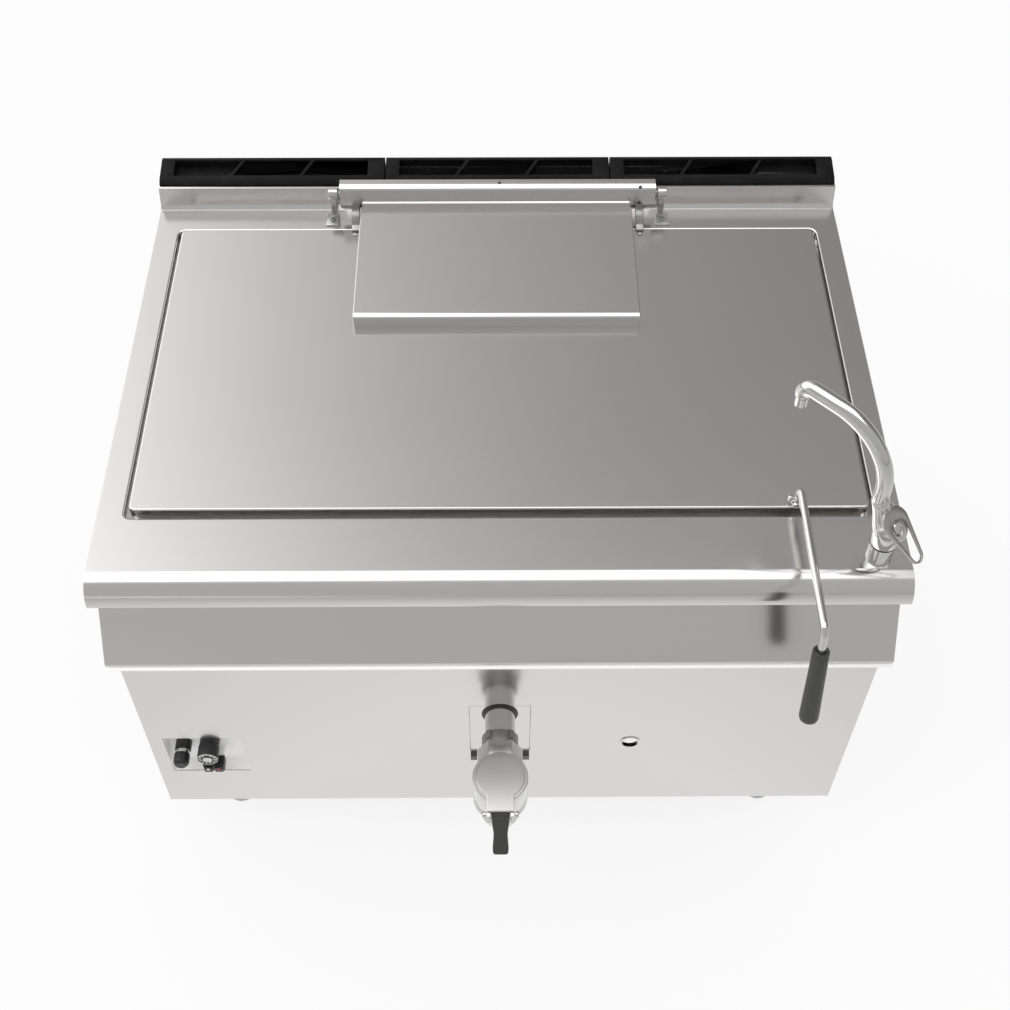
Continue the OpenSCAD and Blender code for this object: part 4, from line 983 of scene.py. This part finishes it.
brackets = []
for side in (-1, 1):
    brackets.append(turned(BOSS, (side * BOSS_X, SHAFT_Y, SHAFT_Z), (side, 0, 0)))
    brackets.append(cut_plate(POST, 8, shift(side * (FOOT_X - 4), SHAFT_Y + 4, 0) @ FACING, 0.8))
    left, right = side * FOOT_X - FOOT_HALF, side * FOOT_X + FOOT_HALF
    plan = [(left, FOOT_FRONT), (right, FOOT_FRONT), (right, FOOT_BACK), (left, FOOT_BACK)]
    brackets.append(cut_plate(plan, FOOT_THICK, shift(0, 0, WORKTOP_Z + 0.02), 1, 3))
stand_in(together(*brackets), "hinge_bracket_pair", satin_cast, "hinge_brackets")

screw_z = WORKTOP_Z + FOOT_THICK
foot_screws = [turned(FOOT_SCREW, (side * FOOT_X, 447, screw_z), steps=24) for side in (-1, 1)]
stand_in(together(*foot_screws), "bracket_foot_screws", plated_steel, "bracket_screws")
print("two brackets of", len(brackets) // 2, "forms each")

# %% [markdown]
# ## The flue's mesh and tabs
#
# A fine black mesh lies under the windows of each grille. It begins as a flat grid, and the wireframe
# operator leaves only its wires. Short tabs hook each grille over the riser.

# %% Flue mesh
GRILLES = {"left": -400, "centre": 0, "right": 400}
MESH_LONG, MESH_DEEP, WIRE_PITCH, WIRE = 350, 38, 4.0, 1.1
TAB = [(-6, 0), (6, 0), (5, 2.4), (-5, 2.4)]

for side, grille_x in GRILLES.items():
    form = bmesh.new()
    bmesh.ops.create_grid(
        form,
        x_segments=round(MESH_LONG / WIRE_PITCH),
        y_segments=round(MESH_DEEP / WIRE_PITCH),
        size=1,
        matrix=shift(grille_x - 3, 533, 887.5) @ Matrix.Diagonal((MESH_LONG / 2, MESH_DEEP / 2, 1, 1)),
    )
    bmesh.ops.wireframe(
        form,
        faces=form.faces,
        thickness=WIRE,
        use_replace=True,
        use_boundary=True,
        use_even_offset=True,
    )
    placed(form, Matrix.Identity(4))
    stand_in(form, f"flue_mesh_{side}", black_enamel, "flue_meshes")
    tabs = []
    for tab_x in (-190, -66, 58, 182):
        tabs.append(cut_plate(TAB, 1.6, shift(grille_x + tab_x, 499.9, 884.7) @ FACING, 0.3))
    add_piece(together(*tabs), f"flue_tabs_{side}", black_enamel, f"flue_grille_{side}")
print("mesh and tabs under", len(GRILLES), "grilles")

# %% [markdown]
# ## The igniter
#
# The controls stand in the recess. The first is the igniter: a socket with a deep rim, a button with
# a rounded end, and a plated ring behind the button. What turns or presses rides on its own body, so
# it moves with its joint.

# %% Igniter
RECESS_FLOOR = -296
IGNITER = (-549.5, RECESS_FLOOR, 319.5)

socket = [(0, -30), (8.9, -30), (8.9, 0.1), (13.4, 0.1), (14, 0.8), (14, 17.6), (13.4, 19), (12.9, 19)]
socket += [(12.9, 11), (6.2, 11), (6.2, 8), (0, 8)]
stand_in(turned(socket, IGNITER, TOWARDS_USER), "igniter_socket", control_plastic, "igniter_body")
button = [(0, 16), (6, 16), (6, 26), (12.8, 26), (13.6, 26.8), (13.6, 41), (12.8, 44)]
button += [(10.4, 47.4), (9, 48.4), (0, 48.4)]
button = turned(button, IGNITER, TOWARDS_USER, steps=16)
stand_in(button, "igniter_cap", control_plastic, "igniter_button")
ring = [(6.1, 19.4), (12.1, 19.4), (12.5, 20), (12.5, 25.4), (12.1, 26), (6.1, 26), (6.1, 19.4)]
ring = turned(ring, IGNITER, TOWARDS_USER)
add_piece(ring, "igniter_ring", polished_steel, "igniter_button")
print("the igniter is", IGNITER[2], "mm above the floor")

# %% [markdown]
# ## The thermostat's knob
#
# The knob has a waist behind a wider head, a slightly sunken face and a steel centre. Twelve ticks
# stand round the face, every third one longer, and a white ring round the rim is a painted highlight.

# %% Thermostat knob
KNOB = (-501.5, RECESS_FLOOR, 334.5)
FACE_DEPTH, TICK_R, TICKS, TICK_TURN = 44.3, 15.4, 12, 27

knob = [(4.1, -4.1), (16.4, -4.1), (17, -3.4), (17, 18.4), (16.2, 19), (16.2, 19.8), (17.4, 20.2)]
knob += [(18, 21), (18, 43.2), (17.3, 44.6), (16.4, 45), (TICK_R, FACE_DEPTH), (9.2, FACE_DEPTH)]
knob += [(8.8, 45), (0, 45), (0, 38), (4.1, 38), (4.1, -4.1)]
knob = turned(knob, KNOB, TOWARDS_USER, steps=48)
stand_in(knob, "thermostat_grip", control_plastic, "thermostat_knob")
centre = [(0, 44.8), (8, 44.8), (8, 45.3), (7.3, 45.8), (3.2, 45.9), (2.9, 45.4), (0, 45.4)]
centre = turned(centre, KNOB, TOWARDS_USER, steps=32)
add_piece(centre, "thermostat_centre", polished_steel, "thermostat_knob")

FACE = shift(KNOB[0], RECESS_FLOOR - FACE_DEPTH, KNOB[2]) @ FACING
ticks_and_painted_highlight = []
for i in range(TICKS):
    turn = Matrix.Rotation(math.radians(i * TICK_TURN - 240), 4, "Z")
    start = TICK_R - (5.4 if i % 3 == 0 else 4.2)
    tick = [(start, -0.7), (TICK_R, -0.7), (TICK_R, 0.7), (start, 0.7)]
    ticks_and_painted_highlight.append(cut_plate(tick, 0.35, FACE @ turn))
# This white ring round the rim is a painted highlight.
rim = [(16.5, 44.9), (16.8, 45.3), (17.3, 44.9), (17.5, 44.3), (16.7, 44.3), (16.5, 44.9)]
ticks_and_painted_highlight.append(turned(rim, KNOB, TOWARDS_USER, steps=48))
add_piece(together(*ticks_and_painted_highlight), "thermostat_ticks_and_painted_highlight", mark_white, "thermostat_knob")
print(TICKS, "ticks over", (TICKS - 1) * TICK_TURN, "degrees")

# %% [markdown]
# ## The switch and the recess
#
# The switch block stands on a stem and carries two push buttons, marked with a white and a red
# dot. The recess is a drawn tray, whose edges are rounded like those of the other sheets. The stem
# and the tray take the pale matt sheet, whose whiteness is a painted reflection of bright steel.

# %% Switch and recess
SWITCH_X, SWITCH_Y, SWITCH_Z = -496.5, -317, 297.5
BUTTON_FACE, BUTTON_Z = -341, 299.5
DOT = [(0, -0.1), (2.6, -0.1), (2.6, 0.3), (0, 0.3)]
BUTTONS = {"start": (-505.5, mark_white), "stop": (-487.5, mark_red)}

stand = shift(SWITCH_X, SWITCH_Y, SWITCH_Z) @ FACING
front = [(-18, -9.5), (18, -9.5), (18, 9.5), (-18, 9.5)]
stand_in(cut_plate(front, 20.5, stand, 1, 3), "switch_housing", control_plastic, "switch_block")
stem = [(x * 0.9, y * 0.8) for x, y in front]
stem = cut_plate(stem, 23, shift(0, 22, 0) @ stand, 0.8)
# The stem's pale matt sheet paints the reflection of bright steel.
add_piece(stem, "switch_stem", pale_reflection_sheet, "switch_block")
# The tray's pale matt sheet is painted reflection and hides the shade on its walls.
print("recess", softened("control_recess", "control_recess_tray", pale_reflection_sheet, 0.4))
for name, (x, ink) in BUTTONS.items():
    print(name, softened(f"{name}_button", f"{name}_button_cap", control_plastic, 0.8, 3))
    dot = turned(DOT, (x, BUTTON_FACE, BUTTON_Z), TOWARDS_USER, steps=24)
    add_piece(dot, f"{name}_mark", ink, f"{name}_button")

# %% [markdown]
# ## Floor
#
# The picture is a bright studio, so the floor is white to the camera and in the metal. It gives that
# white itself, and a pale matt shader takes the lamp and keeps the shadow. To the metal the floor
# carries a painted patch of light: it is brightest near the pan and half as bright far away.

# %% Floor
FLOOR_HALF = 20
PAINTED_POOL_R, PAINTED_POOL_FADE = 0.6, 1.1
OWN_WHITE = 0.82
FLOOR_PALE = (0.86, 0.86, 0.86, 1)

floor_form = bmesh.new()
bmesh.ops.create_grid(floor_form, x_segments=8, y_segments=8, size=FLOOR_HALF)
floor_mesh = bpy.data.meshes.new("floor")
floor_form.to_mesh(floor_mesh)
floor_form.free()
floor = bpy.data.objects.new("floor", floor_mesh)
bpy.context.scene.collection.objects.link(floor)

floor_material = bpy.data.materials.new("floor_paint")
floor_material.use_nodes = True
ground = Shader(floor_material.node_tree)
ray = ground.node("ShaderNodeLightPath")
spot = ground.node("ShaderNodeSeparateXYZ", {}, {"Vector": ground.node("ShaderNodeTexCoord")["Object"]})
far = ground.maths("SQRT", spot["X"] * spot["X"] + spot["Y"] * spot["Y"])
# A painted patch of light, seen only in the metal: brightest near the pan, half as bright far away.
painted_pool = ground.maths("EXPONENT", (PAINTED_POOL_R - far) / PAINTED_POOL_FADE).clamp() * 0.5 + 0.5
white_and_painted_pool = ray["Is Camera Ray"] + (1 - ray["Is Camera Ray"]) * painted_pool
own = ground.node("ShaderNodeEmission", {}, {"Strength": white_and_painted_pool})
lit = ground.node("ShaderNodeBsdfDiffuse", {}, {"Color": FLOOR_PALE})
seen_straight = ray["Is Camera Ray"] + ray["Is Glossy Ray"] + ray["Is Transmission Ray"]
floor_mix = ground.node("ShaderNodeMixShader", {}, {"Fac": seen_straight.clamp() * OWN_WHITE})
ground.tree.links.new(lit.node.outputs[0], floor_mix.node.inputs[1])
ground.tree.links.new(own.node.outputs[0], floor_mix.node.inputs[2])
floor_out = ground.node("ShaderNodeOutputMaterial")
ground.tree.links.new(floor_mix.node.outputs[0], floor_out.node.inputs["Surface"])
floor.data.materials.append(floor_material)
print("floor is", 2 * FLOOR_HALF, "metres wide")

# %% [markdown]
# ## World
#
# Metal shows the room more than itself. So what glossy rays see of the world is a studio: a long soft
# box overhead, light from the left that fades to grey on the right, and a grey front. The height of a
# ray is measured as an angle over the pan, from the back at 0 to the front. Every other ray gets an
# even white, so the world lights the pan without any colour or pattern.

# %% World
BOX_START, BOX_END = math.radians(62), math.radians(104)
BOX_STRENGTH, FRONT_GREY = 1.7, 0.53
SIDE_FADE, SIDE_LIGHT, SIDE_GREY = -5.5, 0.208, 0.236

world = bpy.data.worlds.new("studio")
world.use_nodes = True
bpy.context.scene.world = world
sky = Shader(world.node_tree)
way = sky.node("ShaderNodeSeparateXYZ", {}, {"Vector": sky.node("ShaderNodeTexCoord")["Generated"]})
over = sky.maths("ARCTAN2", way["Z"], way["Y"])
soft_box = over.step(BOX_START - 0.05, BOX_START + 0.04) * (1 - over.step(BOX_END - 0.06, BOX_END + 0.06))
soft_box = soft_box * way["X"].step(-0.8, -0.6) * (1 - way["X"].step(0.35, 0.6))
sides = sky.maths("EXPONENT", way["X"] * SIDE_FADE) * SIDE_LIGHT + SIDE_GREY
front_part = over.step(math.radians(80), math.radians(105))
seen = sides.clamp(0.0, 1.5) * (1 - front_part) + front_part * FRONT_GREY + soft_box * BOX_STRENGTH
mirror = sky.node("ShaderNodeLightPath")["Is Glossy Ray"]
strength = mirror * seen + (1 - mirror)
background = sky.node("ShaderNodeBackground", {}, {"Color": (1, 1, 1, 1), "Strength": strength})
world_out = sky.node("ShaderNodeOutputWorld")
sky.tree.links.new(background.node.outputs[0], world_out.node.inputs["Surface"])
print("the soft box is", round(math.degrees(BOX_END - BOX_START)), "degrees wide")

# %% [markdown]
# ## Lamp
#
# One soft lamp from the front left gives the shadows a direction. It is hidden from glossy rays,
# because the metal already mirrors the soft box of the world.

# %% Lamp
LAMP_PLACE, LAMP_TARGET = Vector((-1.6, -1.4, 3.2)), Vector((0, 0, 0.7))
LAMP_SIZE, LAMP_WATTS = 1.6, 18

lamp_data = bpy.data.lights.new("key", "AREA")
lamp_data.shape = "RECTANGLE"
lamp_data.size = LAMP_SIZE
lamp_data.size_y = LAMP_SIZE
lamp_data.energy = LAMP_WATTS
lamp = bpy.data.objects.new("key", lamp_data)
lamp.location = LAMP_PLACE
lamp.rotation_euler = (LAMP_TARGET - LAMP_PLACE).to_track_quat("-Z", "Y").to_euler()
lamp.visible_glossy = False
bpy.context.scene.collection.objects.link(lamp)
print("the lamp is", round((LAMP_TARGET - LAMP_PLACE).length, 2), "metres away")
